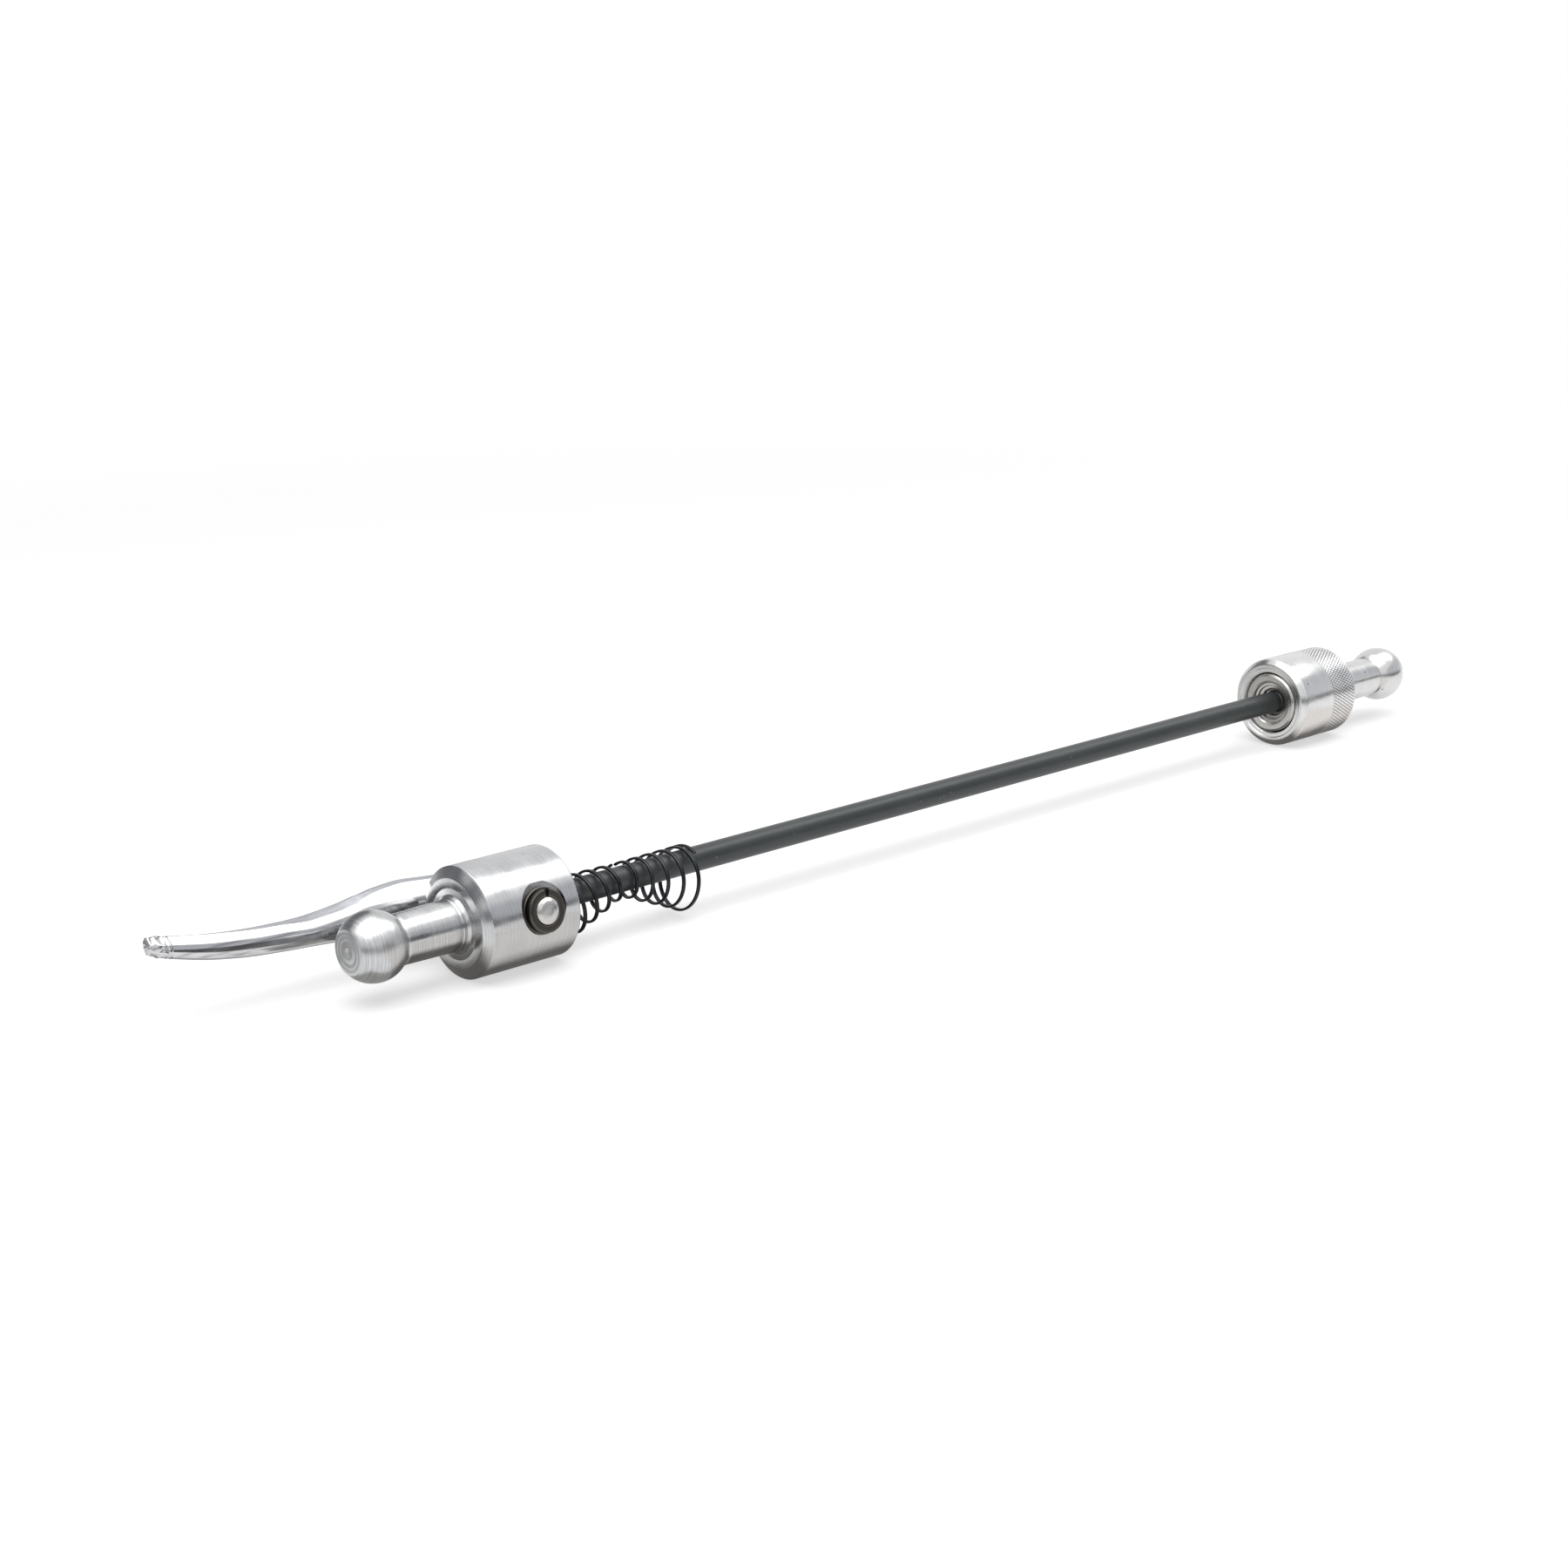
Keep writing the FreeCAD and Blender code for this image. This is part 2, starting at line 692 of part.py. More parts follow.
os.makedirs("parts", exist_ok=True)
for piece in pieces:
    piece.Shape.exportStep(os.path.join("parts", piece.Label + ".step"))
    box = piece.Shape.BoundBox
    print(piece.Label, "volume", round(piece.Shape.Volume, 1),
          "X %.2f %.2f Y %.2f %.2f Z %.2f %.2f" % (box.XMin, box.XMax, box.YMin, box.YMax,
                                                  box.ZMin, box.ZMax))
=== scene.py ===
import math

import bmesh
import bpy
from mathutils import Matrix, Vector, noise


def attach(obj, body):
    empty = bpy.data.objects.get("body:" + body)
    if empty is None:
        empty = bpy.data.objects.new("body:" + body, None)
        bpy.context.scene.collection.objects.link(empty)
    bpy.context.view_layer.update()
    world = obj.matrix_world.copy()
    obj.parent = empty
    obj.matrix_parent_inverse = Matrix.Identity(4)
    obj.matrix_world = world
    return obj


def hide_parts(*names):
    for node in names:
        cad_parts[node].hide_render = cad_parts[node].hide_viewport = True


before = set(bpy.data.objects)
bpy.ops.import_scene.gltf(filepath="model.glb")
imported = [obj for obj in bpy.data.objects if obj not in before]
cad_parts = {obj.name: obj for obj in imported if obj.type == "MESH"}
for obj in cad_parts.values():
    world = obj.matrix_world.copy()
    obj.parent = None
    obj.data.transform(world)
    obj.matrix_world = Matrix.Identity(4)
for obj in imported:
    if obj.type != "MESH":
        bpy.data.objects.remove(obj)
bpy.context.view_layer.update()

# Every piece is drawn in mm in the mechanism's own axes and then set in metres. The mechanism
# lies rolled about X, so its cross shaft points a little down and its top leans a little over.
MM = 0.001
ROLL = Matrix.Rotation(math.radians(-12.0), 4, "X")
ON_ROD = ROLL
PIVOT = -8.3  # the cross shaft's place along the rod
ON_SHAFT = ROLL @ Matrix.Translation((PIVOT * MM, 0.0, 0.0)) @ Matrix.Rotation(math.pi / 2, 4, "Z")
SHAFT_WAY = ROLL @ Vector((0.0, 1.0, 0.0))
ROD_WAY = Vector((1.0, 0.0, 0.0))
FLOOR = -10.5  # height of the floor that the housing rests on
BODY = 10.5  # radius of the housing and of the nut
HOUSING_FRONT = -21.0
NUT_FACE = 220.0
NUT_END = 241.0
HOUSING_BALL = -38.5  # the balls' centres along the rod
NUT_BALL = 264.5
BALL = 6.5  # radii of the ball, its flat end, the neck, and the neck behind the ball
BALL_FLAT = 4.0
NECK = 4.85
THROAT = 4.65
ROD_RADIUS = 2.5
RUNNING_BORE = 2.56  # radius of the holes that the rod and the cross shaft run in
THREAD_PITCH = 0.8
COUNTERBORE = 4.9
COUNTERBORE_LIFT = 0.5
CAM_THROW = 1.1

scene = bpy.context.scene
scene.view_settings.view_transform = "Standard"


def add_camera():
    """Camera where the photograph was taken from, level and looking a little down."""
    data = bpy.data.cameras.new("camera")
    data.sensor_fit = "HORIZONTAL"
    data.sensor_width = 36.0
    data.lens = 60.0
    data.clip_start = 0.01
    data.clip_end = 20.0
    camera = bpy.data.objects.new("camera", data)
    scene.collection.objects.link(camera)
    turn = math.radians(46.784)
    dip = math.radians(15.698)
    ahead = Vector((math.cos(turn) * math.cos(dip), math.sin(turn) * math.cos(dip), -math.sin(dip)))
    camera.location = (-0.28197, -0.36421, 0.15097)
    camera.rotation_mode = "QUATERNION"
    camera.rotation_quaternion = ahead.to_track_quat("-Z", "Y")
    scene.camera = camera


class Finish:
    """A material built up from nodes on the piece's own coordinates."""

    def __init__(self, name, colour=(0.8, 0.8, 0.8), metallic=1.0, roughness=0.3):
        self.material = bpy.data.materials.new(name)
        self.material.use_nodes = True
        self.tree = self.material.node_tree
        self.shader = self.tree.nodes["Principled BSDF"]
        self.shader.inputs["Base Color"].default_value = (*colour, 1.0)
        self.shader.inputs["Metallic"].default_value = metallic
        self.shader.inputs["Roughness"].default_value = roughness
        coordinates = self.node("ShaderNodeTexCoord").outputs
        self.place = coordinates["Object"]
        self.facing = coordinates["Normal"]

    def node(self, kind, inputs=None, **settings):
        made = self.tree.nodes.new(kind)
        for name, value in settings.items():
            setattr(made, name, value)
        for name, value in (inputs or {}).items():
            self.feed(made.inputs[name], value)
        return made

    def feed(self, socket, value):
        if isinstance(value, bpy.types.NodeSocket):
            self.tree.links.new(value, socket)
        else:
            socket.default_value = value

    def set(self, name, value):
        self.feed(self.shader.inputs[name], value)

    def maths(self, operation, *values):
        made = self.node("ShaderNodeMath", operation=operation)
        for socket, value in zip(made.inputs, values):
            self.feed(socket, value)
        return made.outputs[0]

    def vector(self, operation, *values):
        made = self.node("ShaderNodeVectorMath", operation=operation)
        for socket, value in zip(made.inputs, values):
            self.feed(socket, value)
        return made.outputs["Value" if operation in ("LENGTH", "DOT_PRODUCT") else "Vector"]

    def stretched(self, x, y, z):
        return self.vector("MULTIPLY", self.place, (x, y, z))

    def noise(self, where, scale, detail=2.0, rough=0.5):
        made = self.node("ShaderNodeTexNoise", {
            "Vector": where, "Scale": scale, "Detail": detail, "Roughness": rough})
        return made.outputs[0]

    def lines(self, along, scale, detail=2.0, rough=0.6):
        made = self.node("ShaderNodeTexNoise", {
            "W": along, "Scale": scale, "Detail": detail, "Roughness": rough},
            noise_dimensions="1D")
        return made.outputs[0]

    def dots(self, scale, size, soft=0.5):
        """Scattered dots: 1 in a dot, 0 elsewhere."""
        made = self.node("ShaderNodeTexVoronoi", {"Vector": self.place, "Scale": scale})
        return self.step(made.outputs["Distance"], size, size * soft)

    def step(self, value, start, end, low=0.0, high=1.0):
        made = self.node("ShaderNodeMapRange", {
            "Value": value, "From Min": start, "From Max": end, "To Min": low, "To Max": high},
            clamp=True)
        return made.outputs[0]

    def either(self, share, first, second):
        """The first value where share is 0, the second where it is 1."""
        return self.maths("MULTIPLY_ADD", share, self.maths("SUBTRACT", second, first), first)

    def blend(self, factor, first, second):
        made = self.node("ShaderNodeMix", data_type="RGBA")
        self.feed(made.inputs[0], factor)
        self.feed(made.inputs[6], first if isinstance(first, bpy.types.NodeSocket)
                  else (*first, 1.0))
        self.feed(made.inputs[7], second if isinstance(second, bpy.types.NodeSocket)
                  else (*second, 1.0))
        return made.outputs[2]

    def bump(self, height, depth, before=None):
        """Relief from a height of 0 to 1, with its depth in mm."""
        made = self.node("ShaderNodeBump", {
            "Strength": 1.0, "Distance": depth * MM, "Height": height})
        if before:
            self.feed(made.inputs["Normal"], before)
        return made.outputs["Normal"]

    def radius_and_along(self, origin, way):
        """Distance from an axis and distance along it, in mm."""
        there = self.vector("SUBTRACT", self.place, tuple(origin))
        along = self.vector("DOT_PRODUCT", there, tuple(way))
        across = self.vector("CROSS_PRODUCT", there, tuple(way))
        radius = self.vector("LENGTH", across)
        return self.maths("MULTIPLY", radius, 1000.0), self.maths("MULTIPLY", along, 1000.0)


def turned_metal(name, colour, origin, way, rough=(0.2, 0.34), rings=0.03, tone=0.14, pits=True):
    """Metal with rings from the lathe tool, faint stains, and a few pits with painted shade in
    them.
    On an end face the rings lie by their radius, and elsewhere by their place along the axis."""
    finish = Finish(name, colour)
    radius, along = finish.radius_and_along(origin, way)
    upright = finish.maths("ABSOLUTE", finish.vector("DOT_PRODUCT", finish.facing, tuple(way)))
    on_face = finish.step(upright, 0.5, 0.75)
    coarse = finish.either(on_face, finish.lines(along, 1.3), finish.lines(radius, 1.7))
    fine = finish.either(on_face, finish.lines(along, 4.2, 1.0), finish.lines(radius, 4.8, 1.0))
    cloud = finish.noise(finish.place, 240.0, 3.0)
    broken = finish.noise(finish.place, 900.0, 3.0, 0.6)
    shade = finish.either(0.35, fine, cloud)
    pale = tuple(min(1.0, value * (1.0 + tone)) for value in colour)
    deep = tuple(value * (1.0 - 1.5 * tone) for value in colour)
    base = finish.blend(finish.step(shade, 0.36, 0.64), deep, pale)
    normal = finish.bump(coarse, rings * 1.3)
    normal = finish.bump(fine, rings * 0.5, normal)
    normal = finish.bump(broken, 0.004, normal)
    if pits:
        pit = finish.dots(330.0, 0.10)
        keep = finish.step(finish.noise(finish.place, 120.0, 1.0), 0.57, 0.61)
        pit = finish.maths("MULTIPLY", pit, keep)
        # the pits' darker colour is painted shade in the hollows
        base = finish.blend(pit, base, tuple(value * 0.35 for value in colour))
        normal = finish.bump(pit, -0.015, normal)
    finish.set("Base Color", base)
    finish.set("Roughness", finish.step(finish.either(0.75, coarse, cloud), 0.35, 0.65, *rough))
    finish.set("Normal", normal)
    return finish.material


def drawn_metal(name, colour, rough=(0.10, 0.26), depth=0.03, tone=0.12):
    """Plated metal with streaks along X, as left by polishing."""
    finish = Finish(name, colour)
    streak = finish.noise(finish.stretched(50.0, 1500.0, 1500.0), 1.0, 3.0, 0.6)
    wide = finish.noise(finish.stretched(25.0, 260.0, 260.0), 1.0, 2.0)
    spot = finish.noise(finish.place, 700.0, 4.0, 0.6)
    pale = tuple(min(1.0, value * (1.0 + tone)) for value in colour)
    deep = tuple(value * (1.0 - 2.0 * tone) for value in colour)
    finish.set("Base Color", finish.blend(finish.step(streak, 0.34, 0.52), deep, pale))
    finish.set("Roughness", finish.step(wide, 0.35, 0.65, *rough))
    normal = finish.bump(streak, depth)
    normal = finish.bump(wide, depth * 0.8, normal)
    finish.set("Normal", finish.bump(spot, depth * 0.12, normal))
    return finish.material


def dark_steel(name, colour, rough, worn=(0.10, 0.10, 0.10), specks=False, metallic=1.0):
    """Dark oxide steel with a satin grain, a little rubbing, and faint dust where it has
    specks."""
    finish = Finish(name, colour, metallic)
    grain = finish.noise(finish.place, 2200.0, 3.0, 0.6)
    cloud = finish.noise(finish.place, 60.0, 3.0, 0.5)
    base = finish.blend(finish.step(cloud, 0.45, 0.80), colour, worn)
    if specks:
        dust = finish.dots(520.0, 0.09)
        keep = finish.step(finish.noise(finish.place, 210.0, 1.0), 0.55, 0.60)
        base = finish.blend(finish.maths("MULTIPLY", finish.maths("MULTIPLY", dust, keep), 0.45),
                            base, (0.42, 0.43, 0.44))
    finish.set("Base Color", base)
    finish.set("Roughness", finish.step(cloud, 0.3, 0.7, *rough))
    finish.set("Normal", finish.bump(grain, 0.01))
    return finish.material


def nylon(name):
    finish = Finish(name, (0.83, 0.82, 0.76), 0.0, 0.45)
    cloud = finish.noise(finish.place, 400.0, 3.0)
    finish.set("Base Color", finish.blend(cloud, (0.86, 0.85, 0.80), (0.78, 0.76, 0.69)))
    finish.set("Roughness", finish.step(cloud, 0.3, 0.7, 0.38, 0.55))
    finish.set("Normal", finish.bump(finish.noise(finish.place, 1500.0, 2.0), 0.006))
    finish.shader.inputs["Subsurface Weight"].default_value = 0.1
    finish.shader.inputs["Subsurface Radius"].default_value = (0.001, 0.001, 0.0008)
    return finish.material


shaft_origin = Vector((PIVOT * MM, 0.0, 0.0))
middle = Vector((0.0, 0.0, 0.0))
SATIN = turned_metal("satin_turned", (0.53, 0.535, 0.545), middle, ROD_WAY,
                     rough=(0.18, 0.30), rings=0.0015, tone=0.08)
RINGED = turned_metal("ring_turned", (0.53, 0.535, 0.54), middle, ROD_WAY,
                      rough=(0.18, 0.30), rings=0.009, tone=0.10)
BALL_SKIN = turned_metal("ball_skin", (0.53, 0.535, 0.54), middle, ROD_WAY,
                         rough=(0.25, 0.36), rings=0.020, tone=0.17)
# The nut's metal is a lighter grey than the housing's: partly its own alloy, partly painted light
# for the brighter light on the nut
NUT_SATIN = turned_metal("nut_satin", (0.69, 0.69, 0.69), middle, ROD_WAY,
                         rough=(0.18, 0.29), rings=0.0015, tone=0.05)
NUT_RINGED = turned_metal("nut_ringed", (0.66, 0.66, 0.655), middle, ROD_WAY,
                          rough=(0.18, 0.28), rings=0.010, tone=0.10)
# Knurl tops coloured lighter as a painted highlight, and its grooves coloured darker as painted
# shade
KNURL_HIGHLIGHT = turned_metal("knurl_tops_painted_highlight", (0.92, 0.92, 0.92), middle, ROD_WAY,
                     rough=(0.25, 0.35), rings=0.01, tone=0.05, pits=False)
GROOVE_SHADE = turned_metal("knurl_grooves_painted_shade", (0.46, 0.46, 0.455), middle, ROD_WAY,
                      rough=(0.3, 0.5), rings=0.01, pits=False)
LEVER = drawn_metal("polished_plate", (0.50, 0.50, 0.51),
                    rough=(0.09, 0.20), depth=0.012, tone=0.17)
LEVER_BAND = drawn_metal("matte_band", (0.40, 0.41, 0.43),
                         rough=(0.22, 0.36), depth=0.02, tone=0.10)
SHAFT = turned_metal("shaft_steel", (0.62, 0.61, 0.60), shaft_origin, SHAFT_WAY,
                     rough=(0.2, 0.4), rings=0.006)
BUSH = turned_metal("bush_steel", (0.50, 0.49, 0.47), middle, ROD_WAY,
                    rough=(0.2, 0.4), pits=False)
BRASS = turned_metal("guide_brass", (0.70, 0.52, 0.26), middle, ROD_WAY,
                     rough=(0.2, 0.4), pits=False)
THRUST = turned_metal("thrust_steel", (0.50, 0.50, 0.51), shaft_origin, SHAFT_WAY, pits=False)
ROD = dark_steel("black_rod", (0.044, 0.050, 0.051), rough=(0.36, 0.44),
                 worn=(0.062, 0.068, 0.069), specks=True, metallic=0.35)
WASHER = dark_steel("oiled_washer", (0.062, 0.058, 0.052), rough=(0.3, 0.5))
# lighter washer edges: rubbed bare, plus a painted highlight along them
WASHER_RUB_AND_HIGHLIGHT = dark_steel("rubbed_edge_painted_highlight", (0.15, 0.14, 0.125), rough=(0.25, 0.45),
                         worn=(0.08, 0.07, 0.06))
SPRING = dark_steel("spring_oxide", (0.022, 0.024, 0.029), rough=(0.28, 0.45),
                    worn=(0.04, 0.04, 0.045))
# lighter wire edges: rubbed bare, plus a painted highlight along them
SPRING_RUB_AND_HIGHLIGHT = dark_steel("rubbed_wire_painted_highlight", (0.045, 0.047, 0.052), rough=(0.28, 0.42),
                         worn=(0.09, 0.09, 0.10))
NYLON = nylon("natural_nylon")


def arc(centre_along, centre_out, radius, start, end, steps):
    """Points on an arc, with angles in degrees from +X towards the outside."""
    return [(centre_along + radius * math.cos(math.radians(start + (end - start) * n / steps)),
             centre_out + radius * math.sin(math.radians(start + (end - start) * n / steps)))
            for n in range(steps + 1)]


def rounded(corners, steps=4):
    """An outline whose corners with a third number are rounded to that radius."""
    outline = []
    for number, corner in enumerate(corners):
        here = Vector(corner[:2])
        if len(corner) == 2:
            outline.append(tuple(here))
            continue
        back = (Vector(corners[number - 1][:2]) - here).normalized()
        on = (Vector(corners[(number + 1) % len(corners)][:2]) - here).normalized()
        half = back.angle(on) / 2
        centre = here + (back + on).normalized() * (corner[2] / math.sin(half))
        first = here + back * (corner[2] / math.tan(half)) - centre
        last = here + on * (corner[2] / math.tan(half)) - centre
        start = math.atan2(first.y, first.x)
        sweep = (math.atan2(last.y, last.x) - start + math.pi) % (2 * math.pi) - math.pi
        for step in range(steps + 1):
            angle = start + sweep * step / steps
            outline.append((centre.x + corner[2] * math.cos(angle),
                            centre.y + corner[2] * math.sin(angle)))
    return outline


def turned(mesh, outline, place, closed=True, steps=144):
    """Spins an outline of distance along the axis and radius round that axis."""
    points = [mesh.verts.new((along * MM, 0.0, radius * MM)) for along, radius in outline]
    pairs = list(zip(points, points[1:]))
    if closed:
        pairs.append((points[-1], points[0]))
    edges = [mesh.edges.new(pair) for pair in pairs]
    before = set(mesh.verts) - set(points)
    bmesh.ops.spin(mesh, geom=points + edges, cent=(0, 0, 0), axis=(1, 0, 0), dvec=(0, 0, 0),
                   angle=2 * math.pi, steps=steps, use_merge=True, use_duplicate=False)
    made = [vert for vert in mesh.verts if vert not in before]
    bmesh.ops.transform(mesh, matrix=place, verts=made)
    bmesh.ops.remove_doubles(mesh, verts=made, dist=1e-7)


def shade(mesh):
    """Smooth faces, with a sharp edge where two of them meet at more than 28 degrees."""
    limit = math.radians(28.0)
    bmesh.ops.recalc_face_normals(mesh, faces=mesh.faces)
    for face in mesh.faces:
        face.smooth = True
    for edge in mesh.edges:
        edge.smooth = len(edge.link_faces) == 2 and edge.calc_face_angle(0.0) < limit


def piece(mesh, name, body, materials, stands_for):
    """Makes the object from its mesh and ties it to the frame, in place of a CAD node."""
    data = bpy.data.meshes.new(name)
    shade(mesh)
    mesh.to_mesh(data)
    mesh.free()
    for material in materials:
        data.materials.append(material)
    made = bpy.data.objects.new(name, data)
    scene.collection.objects.link(made)
    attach(made, body)
    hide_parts(stands_for)


def cut_away(mesh, cutters):
    """Takes the cutters' shapes out of the mesh."""
    shape = bpy.data.objects.new("shape", bpy.data.meshes.new("shape"))
    shade(mesh)
    mesh.to_mesh(shape.data)
    scene.collection.objects.link(shape)
    tools = []
    for number, cutter in enumerate(cutters):
        tool = bpy.data.objects.new("tool_%d" % number, bpy.data.meshes.new("tool_%d" % number))
        bmesh.ops.recalc_face_normals(cutter, faces=cutter.faces)
        cutter.to_mesh(tool.data)
        cutter.free()
        scene.collection.objects.link(tool)
        change = shape.modifiers.new("cut_%d" % number, "BOOLEAN")
        change.operation = "DIFFERENCE"
        change.solver = "EXACT"
        change.object = tool
        tools.append(tool)
    bpy.context.view_layer.update()
    result = bpy.data.meshes.new_from_object(
        shape.evaluated_get(bpy.context.evaluated_depsgraph_get()))
    mesh.clear()
    mesh.from_mesh(result)
    for item in [shape] + tools:
        data = item.data
        bpy.data.objects.remove(item)
        bpy.data.meshes.remove(data)
    bpy.data.meshes.remove(result)


def block(low, high):
    """A block between two corners in the mechanism's own axes."""
    mesh = bmesh.new()
    centre = (Vector(low) + Vector(high)) / 2 * MM
    size = (Vector(high) - Vector(low)) * MM
    bmesh.ops.create_cube(mesh, size=1.0)
    matrix = ROLL @ Matrix.Translation(centre) @ Matrix.Diagonal((*size, 1.0))
    bmesh.ops.transform(mesh, matrix=matrix, verts=mesh.verts)
    return mesh


flat_reach = math.sqrt(BALL ** 2 - BALL_FLAT ** 2)
throat_reach = math.sqrt(BALL ** 2 - THROAT ** 2)


def stud(face, centre):
    """Outline of a stud from its flat end's centre to the body's end face. The end carries a
    shallow ring and a centre mark from turning, and the neck has a low collar at its foot."""
    way = 1.0 if centre < face else -1.0
    flat = centre - way * flat_reach
    mark = [(0.16, 0.0), (0.15, 0.3), (0.03, 0.75), (0.0, 0.9), (0.0, 1.8), (0.05, 1.95),
            (0.05, 2.2), (0.0, 2.35), (0.0, 3.0), (0.03, 3.1), (0.0, 3.2),
            (0.0, BALL_FLAT - 0.45), (0.03, BALL_FLAT - 0.25)]
    outline = [(flat + way * deep, out) for deep, out in mark]
    start = math.degrees(math.atan2(BALL_FLAT, -flat_reach))
    end = math.degrees(math.atan2(THROAT, throat_reach))
    ball = arc(0.0, 0.0, BALL, start - 1.6, end, 36)
    outline += [(centre + way * along, out) for along, out in ball]
    foot = face - way * 1.15
    neck = rounded([(centre + way * throat_reach, THROAT),
                    (centre + way * (throat_reach + 0.10), THROAT - 0.16),
                    (centre + way * (throat_reach + 0.30), THROAT - 0.16),
                    (centre + way * (throat_reach + 0.55), THROAT + 0.02, 0.15),
                    (foot - way * 0.25, NECK, 0.15),
                    (foot, NECK + 0.12, 0.08),
                    (foot + way * 0.55, NECK + 0.14, 0.15),
                    (face - way * 0.05, NECK + 0.60, 0.3),
                    (face, NECK + 1.0)], 4)
    return outline + neck[1:-1]


def finish_where(mesh, number, here):
    """Gives the numbered material to the faces whose place along the rod passes the test."""
    for face in mesh.faces:
        if here(face.calc_center_median().x / MM):
            face.material_index = number


def make_housing():
    """Turned body with its stud, cross hole, counterbore and far spot face."""
    mesh = bmesh.new()
    front = HOUSING_FRONT
    outline = stud(front, HOUSING_BALL)
    outline += rounded([(front, 5.0), (front, 6.45), (-20.97, 6.55), (-20.97, 6.7),
                        (front, 6.8), (front, 8.45, 0.08), (-20.93, 8.62, 0.05),
                        (-19.7, BODY, 0.14), (-0.45, BODY, 0.25), (0.0, 10.1, 0.10),
                        (0.0, 5.75, 0.05), (-15.1, 5.72), (-15.1, 0.0)])[1:]
    turned(mesh, outline, ON_ROD, False, 180)
    hole = bmesh.new()
    turned(hole, [(-12.0, 0.0), (-12.0, RUNNING_BORE), (0.0, RUNNING_BORE), (0.0, 3.95),
                  (9.8, 3.95), (9.8, 7.5), (12.0, 7.5), (12.0, 0.0)], ON_SHAFT, False, 96)
    sink = bmesh.new()
    lift = ROLL @ Matrix.Translation((0.0, 0.0, COUNTERBORE_LIFT * MM)) @ ROLL.inverted()
    turned(sink, [(-12.0, 0.0), (-12.0, COUNTERBORE), (-9.1, COUNTERBORE), (-9.1, 0.0)],
           lift @ ON_SHAFT, False, 96)
    cut_away(mesh, [hole, sink])
    finish_where(mesh, 1, lambda along: along < -19.8 or along > -0.25)
    finish_where(mesh, 2, lambda along: along < -33.9)
    piece(mesh, "ball_end_housing", "root", [SATIN, RINGED, BALL_SKIN],
          "cam_housing")


def in_mm(along, out, up):
    """A point in metres from its place in the mechanism's own axes."""
    return ROLL @ (Vector((along, out, up)) * MM)


def sweep(mesh, sections):
    """A closed tube through sections of equally many points. Returns its faces by their place
    round the section."""
    count = len(sections[0])
    ring = bmesh.ops.create_circle(mesh, cap_ends=False, segments=count, radius=1.0)["verts"]
    for vert, point in zip(ring, sections[0]):
        vert.co = point
    first = list(ring)
    strips = [[] for number in range(count)]
    for section in sections[1:]:
        edges = [mesh.edges.get((ring[number], ring[(number + 1) % count]))
                 for number in range(count)]
        made = bmesh.ops.extrude_edge_only(mesh, edges=edges)["geom"]
        fresh = {item for item in made if isinstance(item, bmesh.types.BMVert)}
        after = [next(edge.other_vert(vert) for edge in vert.link_edges
                      if edge.other_vert(vert) in fresh) for vert in ring]
        for number, (vert, point) in enumerate(zip(after, section)):
            vert.co = point
            corners = {ring[number], ring[(number + 1) % count]}
            face = next(face for face in vert.link_faces if corners <= set(face.verts))
            strips[number].append(face)
        ring = after
    for end in (first, ring):
        bmesh.ops.contextual_create(mesh, geom=[
            mesh.edges.get((end[number], end[(number + 1) % count])) for number in range(count)])
    return strips


def add_knurl(mesh, start, end, low, high, count, rows):
    """A band of small flat-topped pyramids round the rod's axis, shallower where it starts.
    It begins as a flat grid of square cells, which is turned by 45 degrees, cut to the band's
    size and wrapped round. The tops take the third material, coloured lighter as a painted
    highlight, and the grooves between them the fourth, coloured darker as painted shade."""
    band = bmesh.new()
    cells = count + rows + 1
    bmesh.ops.create_grid(band, x_segments=cells, y_segments=cells, size=cells / 2)
    tops = list(band.faces)
    groove = 0.155
    deep = 0.5
    walls = bmesh.ops.inset_individual(band, faces=tops, thickness=groove, depth=deep)["faces"]
    for faces, number in ((tops, 2), (walls, 3)):
        for face in faces:
            face.material_index = number
    for vert in band.verts:
        first, second, height = vert.co
        vert.co = ((first + second) / 2, (first - second) / 2, height)
    for place, way in (((-rows / 2, 0, 0), (-1, 0, 0)), ((rows / 2, 0, 0), (1, 0, 0)),
                       ((0, -count / 2, 0), (0, -1, 0)), ((0, count / 2, 0), (0, 1, 0))):
        bmesh.ops.bisect_plane(band, geom=band.verts[:] + band.edges[:] + band.faces[:],
                               plane_co=place, plane_no=way, clear_outer=True, dist=1e-6)
    for vert in band.verts:
        along, around, height = vert.co
        share = along / rows + 0.5
        angle = 2 * math.pi * around / count
        run_in = min(1.0, (share + 0.05 * math.sin(angle * 3.0) + 0.05) / 0.16)
        radius = low + (high - low) * (1 - run_in * (1 - abs(height) / deep))
        vert.co = in_mm(start + (end - start) * share, radius * math.sin(angle),
                        radius * math.cos(angle))
    bmesh.ops.remove_doubles(band, verts=band.verts, dist=2e-6)
    keep = bpy.data.meshes.new("band")
    band.to_mesh(keep)
    band.free()
    mesh.from_mesh(keep)
    bpy.data.meshes.remove(keep)


